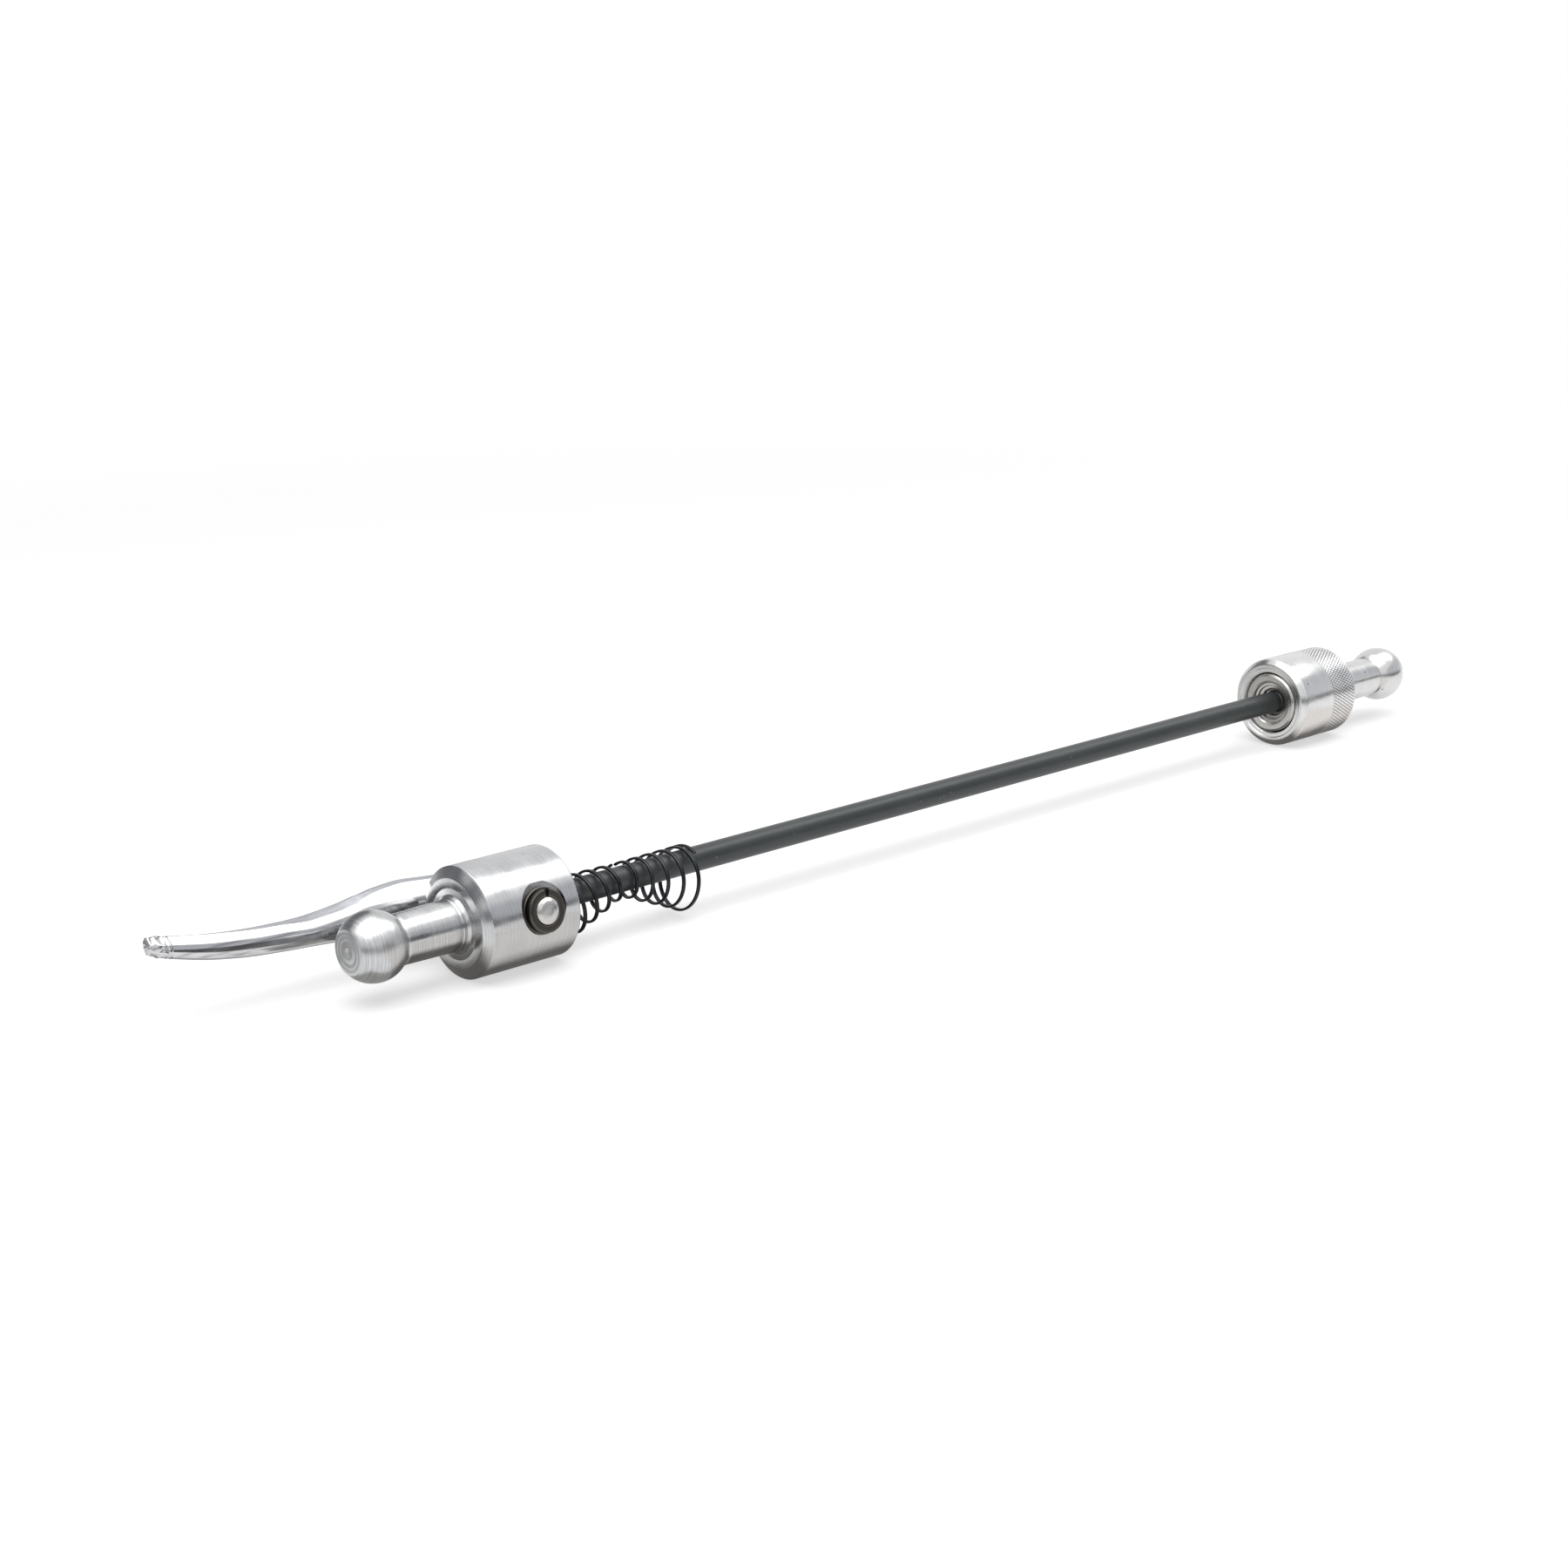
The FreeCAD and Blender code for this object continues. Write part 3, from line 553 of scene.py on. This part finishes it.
def make_nut():
    """Turned nut with its bush seat, plain band, knurl and stud."""
    mesh = bmesh.new()
    outline = stud(NUT_END, NUT_BALL)
    outline += rounded([(NUT_END, 5.0), (NUT_END, 9.55, 0.08), (240.3, 10.3, 0.12),
                        (240.28, 10.05), (231.85, 10.05), (231.7, BODY, 0.05),
                        (221.25, BODY, 0.7), (NUT_FACE, 9.3, 0.45), (NUT_FACE, 8.5, 0.04),
                        (220.18, 8.3, 0.04),
                        (220.18, 7.5, 0.05), (220.6, 7.25), (221.2, 7.03),
                        (234.0, 7.02), (234.0, 5.5), (237.0, 5.5), (237.0, 2.9),
                        (238.5, 2.9), (238.5, 0.0)])[1:]
    turned(mesh, outline, ON_ROD, False, 180)
    finish_where(mesh, 1, lambda along: along < 221.05 or along > 240.3)
    add_knurl(mesh, start=231.8, end=240.28, low=10.12, high=10.46, count=86, rows=6)
    piece(mesh, "knurled_nut", "nut", [NUT_SATIN, NUT_RINGED, KNURL_HIGHLIGHT, GROOVE_SHADE],
          "adjusting_nut")


def make_bush():
    """Steel bush with a stepped mouth and a thread down its bore."""
    mesh = bmesh.new()
    mouth = [(220.2, 5.35, 0.05), (220.2, 6.45, 0.08), (220.65, 6.98, 0.08), (234.0, 6.98),
             (234.0, 2.6)]
    bore = []
    for turn in range(14):
        foot = 233.6 - turn * THREAD_PITCH
        bore += [(foot, 2.58), (foot - THREAD_PITCH / 2, 2.78)]
    steps = [(222.3, 2.62), (222.1, 3.1, 0.04), (221.5, 3.35, 0.04), (221.4, 4.0, 0.04),
             (220.95, 4.2, 0.04), (220.9, 4.75, 0.04), (220.55, 4.95, 0.04)]
    turned(mesh, rounded(mouth + bore + steps), ON_ROD, True, 120)
    piece(mesh, "stepped_bush", "nut", [BUSH], "thread_bush")


def make_rod():
    """Rod with its slotted eye in the housing and its thread in the nut."""
    mesh = bmesh.new()
    outline = rounded([(-13.1, 0.0), (-13.1, 5.5, 0.2), (-4.0, 5.5, 0.2), (-4.0, ROD_RADIUS),
                       (221.0, ROD_RADIUS), (221.4, 2.12), (235.2, 2.12), (235.8, 1.6),
                       (235.8, 0.0)])
    turned(mesh, outline, ON_ROD, False, 96)
    cut_away(mesh, [block((-14.0, -6.0, -6.0), (-3.9, -3.0, 6.0)),
                    block((-14.0, 3.0, -6.0), (-3.9, 6.0, 6.0)),
                    block((-11.4, -4.0, -4.1), (-5.2, 4.0, 3.0))])
    steps = 24
    turns = 16.8
    sections = []
    for number in range(int(turns * steps) + 1):
        turn = number / steps
        angle = 2 * math.pi * turn
        crest = 2.49 - 0.35 * max(0.0, 1 - turn) - 0.3 * max(0.0, 1 - (turns - turn))
        along = 221.7 + THREAD_PITCH * turn
        sections.append([in_mm(along + shift, radius * math.sin(angle), radius * math.cos(angle))
                         for shift, radius in ((-0.38, 2.05), (-0.05, crest), (0.05, crest),
                                               (0.38, 2.05))])
    sweep(mesh, sections)
    piece(mesh, "black_rod", "rod", [ROD], "skewer_rod")


def make_shaft():
    """Cross shaft: domed near end, near journal, cam, far journal and riveted far end."""
    mesh = bmesh.new()
    turned(mesh, rounded([(-12.02, 0.0), (-12.05, 0.9, 0.5), (-11.96, 1.75, 0.25),
                          (-11.5, 2.5, 0.2), (-3.2, 2.5), (-3.2, 0.0)]), ON_SHAFT, False, 72)
    down = ROLL @ Matrix.Translation((0.0, 0.0, -CAM_THROW * MM)) @ ROLL.inverted()
    turned(mesh, [(-3.2, 0.0), (-3.2, 2.7), (3.2, 2.7), (3.2, 0.0)], down @ ON_SHAFT, False, 72)
    turned(mesh, rounded([(3.2, 0.0), (3.2, 3.9), (10.7, 3.9), (10.7, 3.97), (16.55, 3.97),
                          (16.72, 3.75, 0.1), (16.98, 2.6, 0.6), (16.93, 0.0)]),
           ON_SHAFT, False, 72)
    piece(mesh, "cross_shaft", "lever", [SHAFT], "cam_shaft")


def make_ring(name, stands_for, materials, start, end, inner, outer, soft):
    """A flat ring on the cross shaft. Its rounded edges take the second material, if it has
    one: a lighter colour for wear plus a painted highlight."""
    mesh = bmesh.new()
    turned(mesh, rounded([(start, inner, soft / 2), (start, outer, soft), (end, outer, soft),
                          (end, inner, soft / 2)], 3), ON_SHAFT, True, 96)
    for face in mesh.faces:
        lean = abs(face.normal.dot(SHAFT_WAY))
        face.material_index = 1 if 0.1 < lean < 0.98 and len(materials) > 1 else 0
    piece(mesh, name, "root", materials, stands_for)


def rub_and_highlight_edges(strips, shape, longest):
    """Gives the second material, lighter for wear plus a painted highlight, to a swept piece's
    rounded edges, known by their short sides.
    """
    for number, strip in enumerate(strips):
        if math.dist(shape[number], shape[(number + 1) % len(shape)]) < longest:
            for face in strip:
                face.material_index = 1


def make_lock_washer():
    """A split spring washer wound as one short turn, so that one side of its gap stands proud."""
    mesh = bmesh.new()
    soft = 0.22
    shape = rounded([(-0.56, -0.70, soft), (0.56, -0.70, soft), (0.56, 0.70, soft),
                     (-0.56, 0.70, soft)], 2)
    sections = []
    steps = 96
    for number in range(steps + 1):
        share = number / steps
        angle = math.radians(93.0 + 341.0 * share)
        lift = 0.42 * (1 - share) ** 2
        sections.append([in_mm(PIVOT + (3.33 + out) * math.cos(angle),
                               -10.78 - lift + deep,
                               (3.33 + out) * math.sin(angle)) for deep, out in shape])
    strips = sweep(mesh, sections)
    rub_and_highlight_edges(strips, shape, 0.3)
    piece(mesh, "wound_lock_washer", "root", [WASHER, WASHER_RUB_AND_HIGHLIGHT],
          "split_lock_washer")


# Lever arm: distance from the pivot, height of its middle, half height, half thickness, and how
# far below its top edge the matte upper flat and the bright flat under it end, as seen
ARM = (
    (4.7, 0.7, 6.62, 2.82, 0.66, 3.1),
    (8.0, 1.2, 6.4, 2.95, 0.68, 3.4),
    (14.0, 2.3, 5.8, 3.0, 0.73, 3.8),
    (20.0, 2.85, 4.9, 2.95, 0.75, 3.1),
    (22.4, 3.02, 4.35, 2.9, 0.85, 2.7),
    (23.8, 3.1, 4.07, 2.85, 1.36, 2.6),
    (27.0, 3.15, 3.5, 2.72, 1.30, 2.65),
    (34.0, 3.15, 2.87, 2.5, 1.20, 2.55),
    (37.0, 3.25, 2.77, 2.4, 0.92, 2.35),
    (39.0, 3.35, 2.72, 2.33, 0.66, 2.2),
    (46.0, 3.85, 2.56, 2.15, 0.42, 2.05),
    (52.0, 4.6, 2.39, 1.99, 0.14, 1.95),
    (56.0, 5.3, 2.26, 1.9, 0.10, 1.9),
    (61.6, 6.55, 2.02, 1.77, 0.10, 1.8),
)
ARM_MIDDLE = 13.85


def between(stations, where):
    """Values at a distance along the stations: smooth sizes, and flats in straight steps."""
    number = max(n for n in range(len(stations) - 1) if stations[n][0] <= where or n == 0)
    before = stations[max(number - 1, 0)]
    start, end = stations[number], stations[number + 1]
    after = stations[min(number + 2, len(stations) - 1)]
    span = end[0] - start[0]
    share = (where - start[0]) / span
    values = []
    for column in range(1, len(start)):
        if column > 3:
            values.append(start[column] + (end[column] - start[column]) * share)
            continue
        lean = (end[column] - before[column]) / max(end[0] - before[0], 1e-6) * span
        lean_after = (after[column] - start[column]) / max(after[0] - start[0], 1e-6) * span
        values.append((2 * share ** 3 - 3 * share ** 2 + 1) * start[column]
                      + (share ** 3 - 2 * share ** 2 + share) * lean
                      + (3 * share ** 2 - 2 * share ** 3) * end[column]
                      + (share ** 3 - share ** 2) * lean_after)
    return values


def arm_section(along, values, scale=1.0, rough=0.0):
    """Section of the arm: flats on its near side and a full oval on its far side."""
    middle, height, thick, matte, bright = values
    matte_end = height - 0.80 * matte
    bright_end = height - bright + 0.15 * thick
    top = -0.90 * thick + 0.78 * (matte_end - bright_end) + 1.44 * matte
    near = rounded([(top + 0.2, height), (top, height, 0.2), (top - 1.44 * matte, matte_end, 0.35),
                    (-0.90 * thick, bright_end, 0.8), (-0.985 * thick, bright_end - 0.8, 1.0),
                    (-thick, -0.42 * height, 0.8), (-0.81 * thick, -0.81 * height, 0.7),
                    (0.0, -height)], 4)
    places = near[1:]
    for step in range(1, 36):
        turn = math.radians(-90.0 + 5.0 * step)
        up = math.copysign(abs(math.sin(turn)) ** 0.816, turn)
        inner = top * (1 + up) / 2
        places.append((inner + (thick - inner) * math.cos(turn) ** 0.816, height * up))
    points = []
    for across, up in places:
        lump = noise.noise(Vector((along * 1.5, across * 1.5, up * 1.5)))
        size = scale * (1.0 + rough * (lump - 0.3))
        points.append(in_mm(PIVOT - along, ARM_MIDDLE + across * size, middle + up * size))
    return points


def make_lever():
    """Bent lever arm with its hammered end, and the round boss on the cross shaft."""
    mesh = bmesh.new()
    sections = []
    steps = 110
    for number in range(steps + 1):
        along = ARM[0][0] + (ARM[-1][0] - ARM[0][0]) * number / steps
        sections.append(arm_section(along, between(ARM, along)))
    tip = between(ARM, ARM[-1][0])
    # a groove, the hammered end that narrows a little, and its dished end face
    end = [(61.72, 0.91), (61.98, 0.91), (62.12, 0.985)]
    end += [(62.12 + 3.33 * n / 14, 0.985 - 0.20 * (n / 14) ** 3) for n in range(1, 15)]
    for along, scale in end + [(65.42, 0.62), (65.35, 0.4)]:
        rough = 0.17 if along > 62.2 else 0.0
        rise = 0.26 * (along - ARM[-1][0])
        sections.append(arm_section(along, [tip[0] + rise] + tip[1:], scale, rough))
    strips = sweep(mesh, sections)
    matte_length = 92
    for strip in strips[:7] + strips[-4:]:
        for face in strip[:matte_length]:
            face.material_index = 1
    turned(mesh, rounded([(10.7, 4.02), (10.7, 7.08, 0.5), (17.0, 7.08, 0.7), (17.0, 4.3, 0.1),
                          (16.75, 4.02)]), ON_SHAFT, True, 120)
    piece(mesh, "bent_lever", "lever", [LEVER, LEVER_BAND], "lever")


def make_coil(name, stands_for, narrow_end, way, phase, lean):
    """Conical spring of flattened wire, hanging on the rod by the top of each turn."""
    turns = 5.2
    narrow = 3.125

    def at(turn):
        along = 3.4 * turn - 4.3 * max(turn - 4.2, 0.0) ** 2 / 2
        radius = narrow + 3.375 * turn / turns
        angle = math.radians(phase) - way * 2 * math.pi * turn
        height = radius * math.cos(angle) - (radius - narrow)
        place = Vector((narrow_end + way * along + height * math.tan(math.radians(lean)),
                        radius * math.sin(angle), height))
        return place, Vector((0.0, math.sin(angle), math.cos(angle)))

    soft = 0.14
    shape = rounded([(-0.38, -0.25, soft), (0.38, -0.25, soft), (0.38, 0.25, soft),
                     (-0.38, 0.25, soft)], 2)
    sections = []
    steps = 48
    count = int(turns * steps)
    for number in range(count + 1):
        turn = turns * number / count
        place, out = at(turn)
        ahead = (at(turn + 0.001)[0] - at(turn - 0.001)[0]).normalized()
        side = ahead.cross(out).normalized()
        out = side.cross(ahead)
        sections.append([(place + side * across + out * deep) * MM for across, deep in shape])
    mesh = bmesh.new()
    strips = sweep(mesh, sections)
    rub_and_highlight_edges(strips, shape, 0.2)
    piece(mesh, name, stands_for, [SPRING, SPRING_RUB_AND_HIGHLIGHT], stands_for)


def make_inner_rings():
    """Guide bush in the housing's mouth and the lock ring behind the nut's bush."""
    mesh = bmesh.new()
    turned(mesh, rounded([(-2.4, RUNNING_BORE, 0.15), (-2.4, 5.68, 0.1), (-0.02, 5.68, 0.15),
                          (-0.02, RUNNING_BORE, 0.25)]), ON_ROD, True, 96)
    piece(mesh, "guide_bush", "root", [BRASS], "rod_guide_bush")
    mesh = bmesh.new()
    turned(mesh, rounded([(234.05, RUNNING_BORE, 0.1), (234.05, 5.46, 0.2),
                          (236.95, 5.46, 0.2), (236.95, RUNNING_BORE, 0.1)]), ON_ROD, True, 72)
    piece(mesh, "lock_ring", "nut_carrier", [NYLON], "nylon_lock_ring")


def pale_floor():
    """White to the camera and in reflections. Near the object it keeps the soft shadow: a
    matt grey lit by the lamps, under a plain glow. Further out it fades to plain white."""
    finish = Finish("pale_floor", (0.80, 0.80, 0.80), 0.0, 0.9)
    tree = finish.tree
    grain = finish.noise(finish.place, 60.0, 2.0)
    finish.set("Base Color", finish.blend(grain, (0.79, 0.79, 0.79), (0.81, 0.81, 0.81)))
    seen = finish.node("ShaderNodeLightPath")
    share = finish.maths("MAXIMUM", seen.outputs["Is Camera Ray"], seen.outputs["Is Glossy Ray"])
    share = finish.maths("MAXIMUM", share, seen.outputs["Is Transmission Ray"])
    white = finish.node("ShaderNodeEmission", {"Color": (1, 1, 1, 1), "Strength": 1.0})
    glow = finish.node("ShaderNodeEmission", {"Color": (1, 1, 1, 1), "Strength": 0.58})
    soft = finish.node("ShaderNodeBsdfDiffuse", {"Color": (0.56, 0.56, 0.565, 1)})
    near = finish.node("ShaderNodeAddShader")
    tree.links.new(glow.outputs[0], near.inputs[0])
    tree.links.new(soft.outputs[0], near.inputs[1])
    object_middle = (0.1, 0.0, 0.0)
    reach = finish.vector("LENGTH", finish.vector("SUBTRACT", finish.place, object_middle))
    shown = finish.node("ShaderNodeMixShader", {"Fac": finish.step(reach, 0.26, 0.6)})
    tree.links.new(near.outputs[0], shown.inputs[1])
    tree.links.new(white.outputs[0], shown.inputs[2])
    mix = finish.node("ShaderNodeMixShader", {"Fac": share})
    tree.links.new(finish.shader.outputs[0], mix.inputs[1])
    tree.links.new(shown.outputs[0], mix.inputs[2])
    tree.links.new(mix.outputs[0], tree.nodes["Material Output"].inputs["Surface"])
    return finish.material


def add_floor():
    mesh = bmesh.new()
    bmesh.ops.create_grid(mesh, x_segments=1, y_segments=1, size=4.0)
    bmesh.ops.translate(mesh, verts=mesh.verts, vec=(0.1, 0.0, (FLOOR - 0.02) * MM))
    data = bpy.data.meshes.new("floor")
    mesh.to_mesh(data)
    mesh.free()
    floor = bpy.data.objects.new("floor", data)
    scene.collection.objects.link(floor)
    data.materials.append(pale_floor())


def add_lamp(name, place, width, depth, power):
    """A soft box that faces straight down."""
    data = bpy.data.lights.new(name, "AREA")
    data.shape = "RECTANGLE"
    data.size = width
    data.size_y = depth
    data.energy = power
    lamp = bpy.data.objects.new(name, data)
    scene.collection.objects.link(lamp)
    lamp.location = place
    lamp.rotation_mode = "QUATERNION"
    lamp.rotation_quaternion = Vector((0.0, 0.0, -1.0)).to_track_quat("-Z", "Y")


def add_card(name, centre, across, up, shades):
    """A card that glows with fixed shades that only reflections see: a painted reflection on the
    metal, set as a studio sets cards round bright metal. Its shades are given from its lower edge
    to its upper edge."""
    centre, across, up = Vector(centre), Vector(across), Vector(up)
    mesh = bmesh.new()
    bmesh.ops.create_grid(mesh, x_segments=1, y_segments=1, size=0.5)
    turn = Matrix((across, up, across.cross(up).normalized())).transposed().to_4x4()
    bmesh.ops.transform(mesh, verts=mesh.verts, matrix=Matrix.Translation(centre) @ turn)
    data = bpy.data.meshes.new(name)
    mesh.to_mesh(data)
    mesh.free()
    card = bpy.data.objects.new(name, data)
    scene.collection.objects.link(card)
    finish = Finish(name)
    there = finish.vector("SUBTRACT", finish.place, tuple(centre))
    height = finish.vector("DOT_PRODUCT", there, tuple(up / up.length_squared))
    ramp = finish.node("ShaderNodeValToRGB", {"Fac": finish.maths("ADD", height, 0.5)})
    stops = ramp.color_ramp.elements
    for number, (place, shade_of) in enumerate(shades):
        stop = stops[number] if number < 2 else stops.new(place)
        stop.position = place
        stop.color = (*shade_of, 1.0)
    glow = finish.node("ShaderNodeEmission", {"Color": ramp.outputs["Color"]})
    finish.tree.links.new(glow.outputs[0],
                          finish.tree.nodes["Material Output"].inputs["Surface"])
    data.materials.append(finish.material)
    card.visible_camera = False
    card.visible_diffuse = False
    card.visible_shadow = False
    card.visible_transmission = False
    card.visible_volume_scatter = False


def add_surroundings():
    world = bpy.data.worlds.new("studio")
    world.use_nodes = True
    scene.world = world
    nodes = world.node_tree.nodes
    links = world.node_tree.links
    sky = nodes["Background"]
    seen = nodes.new("ShaderNodeLightPath")
    first = nodes.new("ShaderNodeMath")
    first.operation = "MAXIMUM"
    second = nodes.new("ShaderNodeMath")
    second.operation = "MAXIMUM"
    strength = nodes.new("ShaderNodeMapRange")
    strength.inputs["To Min"].default_value = 0.2  # what the world adds to the light
    strength.inputs["To Max"].default_value = 1.0  # plain white where it is seen
    links.new(seen.outputs["Is Camera Ray"], first.inputs[0])
    links.new(seen.outputs["Is Glossy Ray"], first.inputs[1])
    links.new(first.outputs[0], second.inputs[0])
    links.new(seen.outputs["Is Transmission Ray"], second.inputs[1])
    links.new(second.outputs[0], strength.inputs["Value"])
    links.new(strength.outputs[0], sky.inputs["Strength"])
    sky.inputs["Color"].default_value = (1.0, 1.0, 1.0, 1.0)


add_camera()
add_surroundings()
add_floor()
add_lamp("overhead", (-0.20, -0.10, 0.80), width=1.00, depth=0.90, power=6.8)
add_lamp("overhead_right", (0.775, -0.16, 0.80), width=0.95, depth=0.48, power=3.45)

# Painted reflections: cards that stand round the object, glowing with fixed shades that only
# reflections see
DARK_REFLECTION = ((0.0, (0.40, 0.40, 0.41)), (0.25, (0.22, 0.22, 0.24)), (0.85, (0.20, 0.20, 0.22)),
              (1.0, (0.5, 0.5, 0.52)))
add_card("dark_wall", centre=(0.1, -0.22, 0.0175), across=(2.2, 0.0, 0.0), up=(0.0, 0.0, 0.056),
         shades=((0.0, (0.9, 0.88, 0.86)), (0.10, (0.12, 0.11, 0.11)), (0.60, (0.10, 0.10, 0.11)),
                 (1.0, (0.6, 0.62, 0.65))))
add_card("near_wall", centre=(-0.22, -0.18, 0.032), across=(0.36, -0.34, 0.0),
         up=(0.0, 0.0, 0.085),
         shades=((0.0, (0.5, 0.49, 0.48)), (0.08, (0.18, 0.18, 0.19)), (0.7, (0.20, 0.21, 0.23)),
                 (1.0, (0.6, 0.62, 0.65))))
add_card("grey_wall", centre=(0.82, -0.76, 0.45), across=(1.7, 1.65, 0.0), up=(0.0, 0.0, 0.62),
         shades=((0.0, (0.72, 0.74, 0.77)), (0.8, (0.60, 0.62, 0.65)), (1.0, (0.72, 0.73, 0.75))))
add_card("back_wall", centre=(-0.35, 0.52, 0.27), across=(1.3, 0.0, 0.0), up=(0.0, 0.0, 0.54),
         shades=DARK_REFLECTION)
add_card("left_wall", centre=(-0.72, 0.24, 0.27), across=(0.0, 0.56, 0.0), up=(0.0, 0.0, 0.54),
         shades=DARK_REFLECTION)

# Cards that lie on the floor, and one that stands beside the near ball. The strips under the
# housing, the nut and the near ball are painted shadow: the object's own shade on the floor as
# reflections see it. The other cards paint dark and grey reflections.
for name, start, end in (("housing_painted_shadow", -0.034, 0.030), ("nut_painted_shadow", 0.215, 0.258)):
    add_card(name, centre=((start + end) / 2, 0.0, (FLOOR + 0.03) * MM),
             across=(end - start, 0.0, 0.0), up=(0.0, 0.12, 0.0),
             shades=((0.40, (1.0, 0.965, 0.93)), (0.425, (0.6, 0.57, 0.55)),
                     (0.44, (0.16, 0.155, 0.15)), (0.57, (0.20, 0.19, 0.18)),
                     (0.63, (0.95, 0.94, 0.93))))
add_card("ball_painted_shadow", centre=(-0.040, 0.0, (FLOOR + 0.03) * MM), across=(0.012, 0.0, 0.0),
         up=(0.0, 0.016, 0.0),
         shades=((0.0, (0.42, 0.41, 0.40)), (1.0, (0.46, 0.45, 0.44))))
add_card("ball_wall", centre=(-0.020, -0.060, 0.010), across=(0.045, 0.0, 0.0),
         up=(0.0, 0.0, 0.024),
         shades=((0.0, (0.14, 0.14, 0.14)), (0.8, (0.12, 0.12, 0.125)), (1.0, (0.5, 0.5, 0.52))))
add_card("face_card", centre=(-0.068, 0.037, (FLOOR + 0.035) * MM), across=(0.10, 0.0, 0.0),
         up=(0.0, 0.034, 0.0),
         shades=((0.0, (0.46, 0.46, 0.46)), (1.0, (0.50, 0.50, 0.50))))
add_card("rim_card", centre=(0.068, 0.056, (FLOOR + 0.04) * MM), across=(0.056, 0.0, 0.0),
         up=(0.0, 0.044, 0.0),
         shades=((0.0, (0.3, 0.3, 0.3)), (0.15, (0.08, 0.08, 0.08))))
add_card("grey_strip", centre=(0.47, 0.26, (FLOOR + 0.02) * MM), across=(1.0, 0.0, 0.0),
         up=(0.0, 0.48, 0.0),
         shades=((0.0, (0.72, 0.72, 0.71)), (0.3, (0.66, 0.66, 0.66)), (1.0, (0.40, 0.40, 0.42))))

make_housing()
make_nut()
make_bush()
make_rod()
make_shaft()
make_ring("thrust_washer", "friction_washer", [THRUST],
          start=9.8, end=10.65, inner=4.0, outer=6.5, soft=0.12)
make_ring("flat_washer", "backing_washer", [WASHER, WASHER_RUB_AND_HIGHLIGHT],
          start=-10.1, end=-9.1, inner=2.6, outer=4.35, soft=0.2)
make_lock_washer()
make_lever()
make_coil("lever_side_coil", "lever_spring", narrow_end=17.155, way=-1, phase=36.0, lean=0.0)
make_coil("nut_side_coil", "nut_spring", narrow_end=17.955, way=1, phase=45.0, lean=10.0)
make_inner_rings()
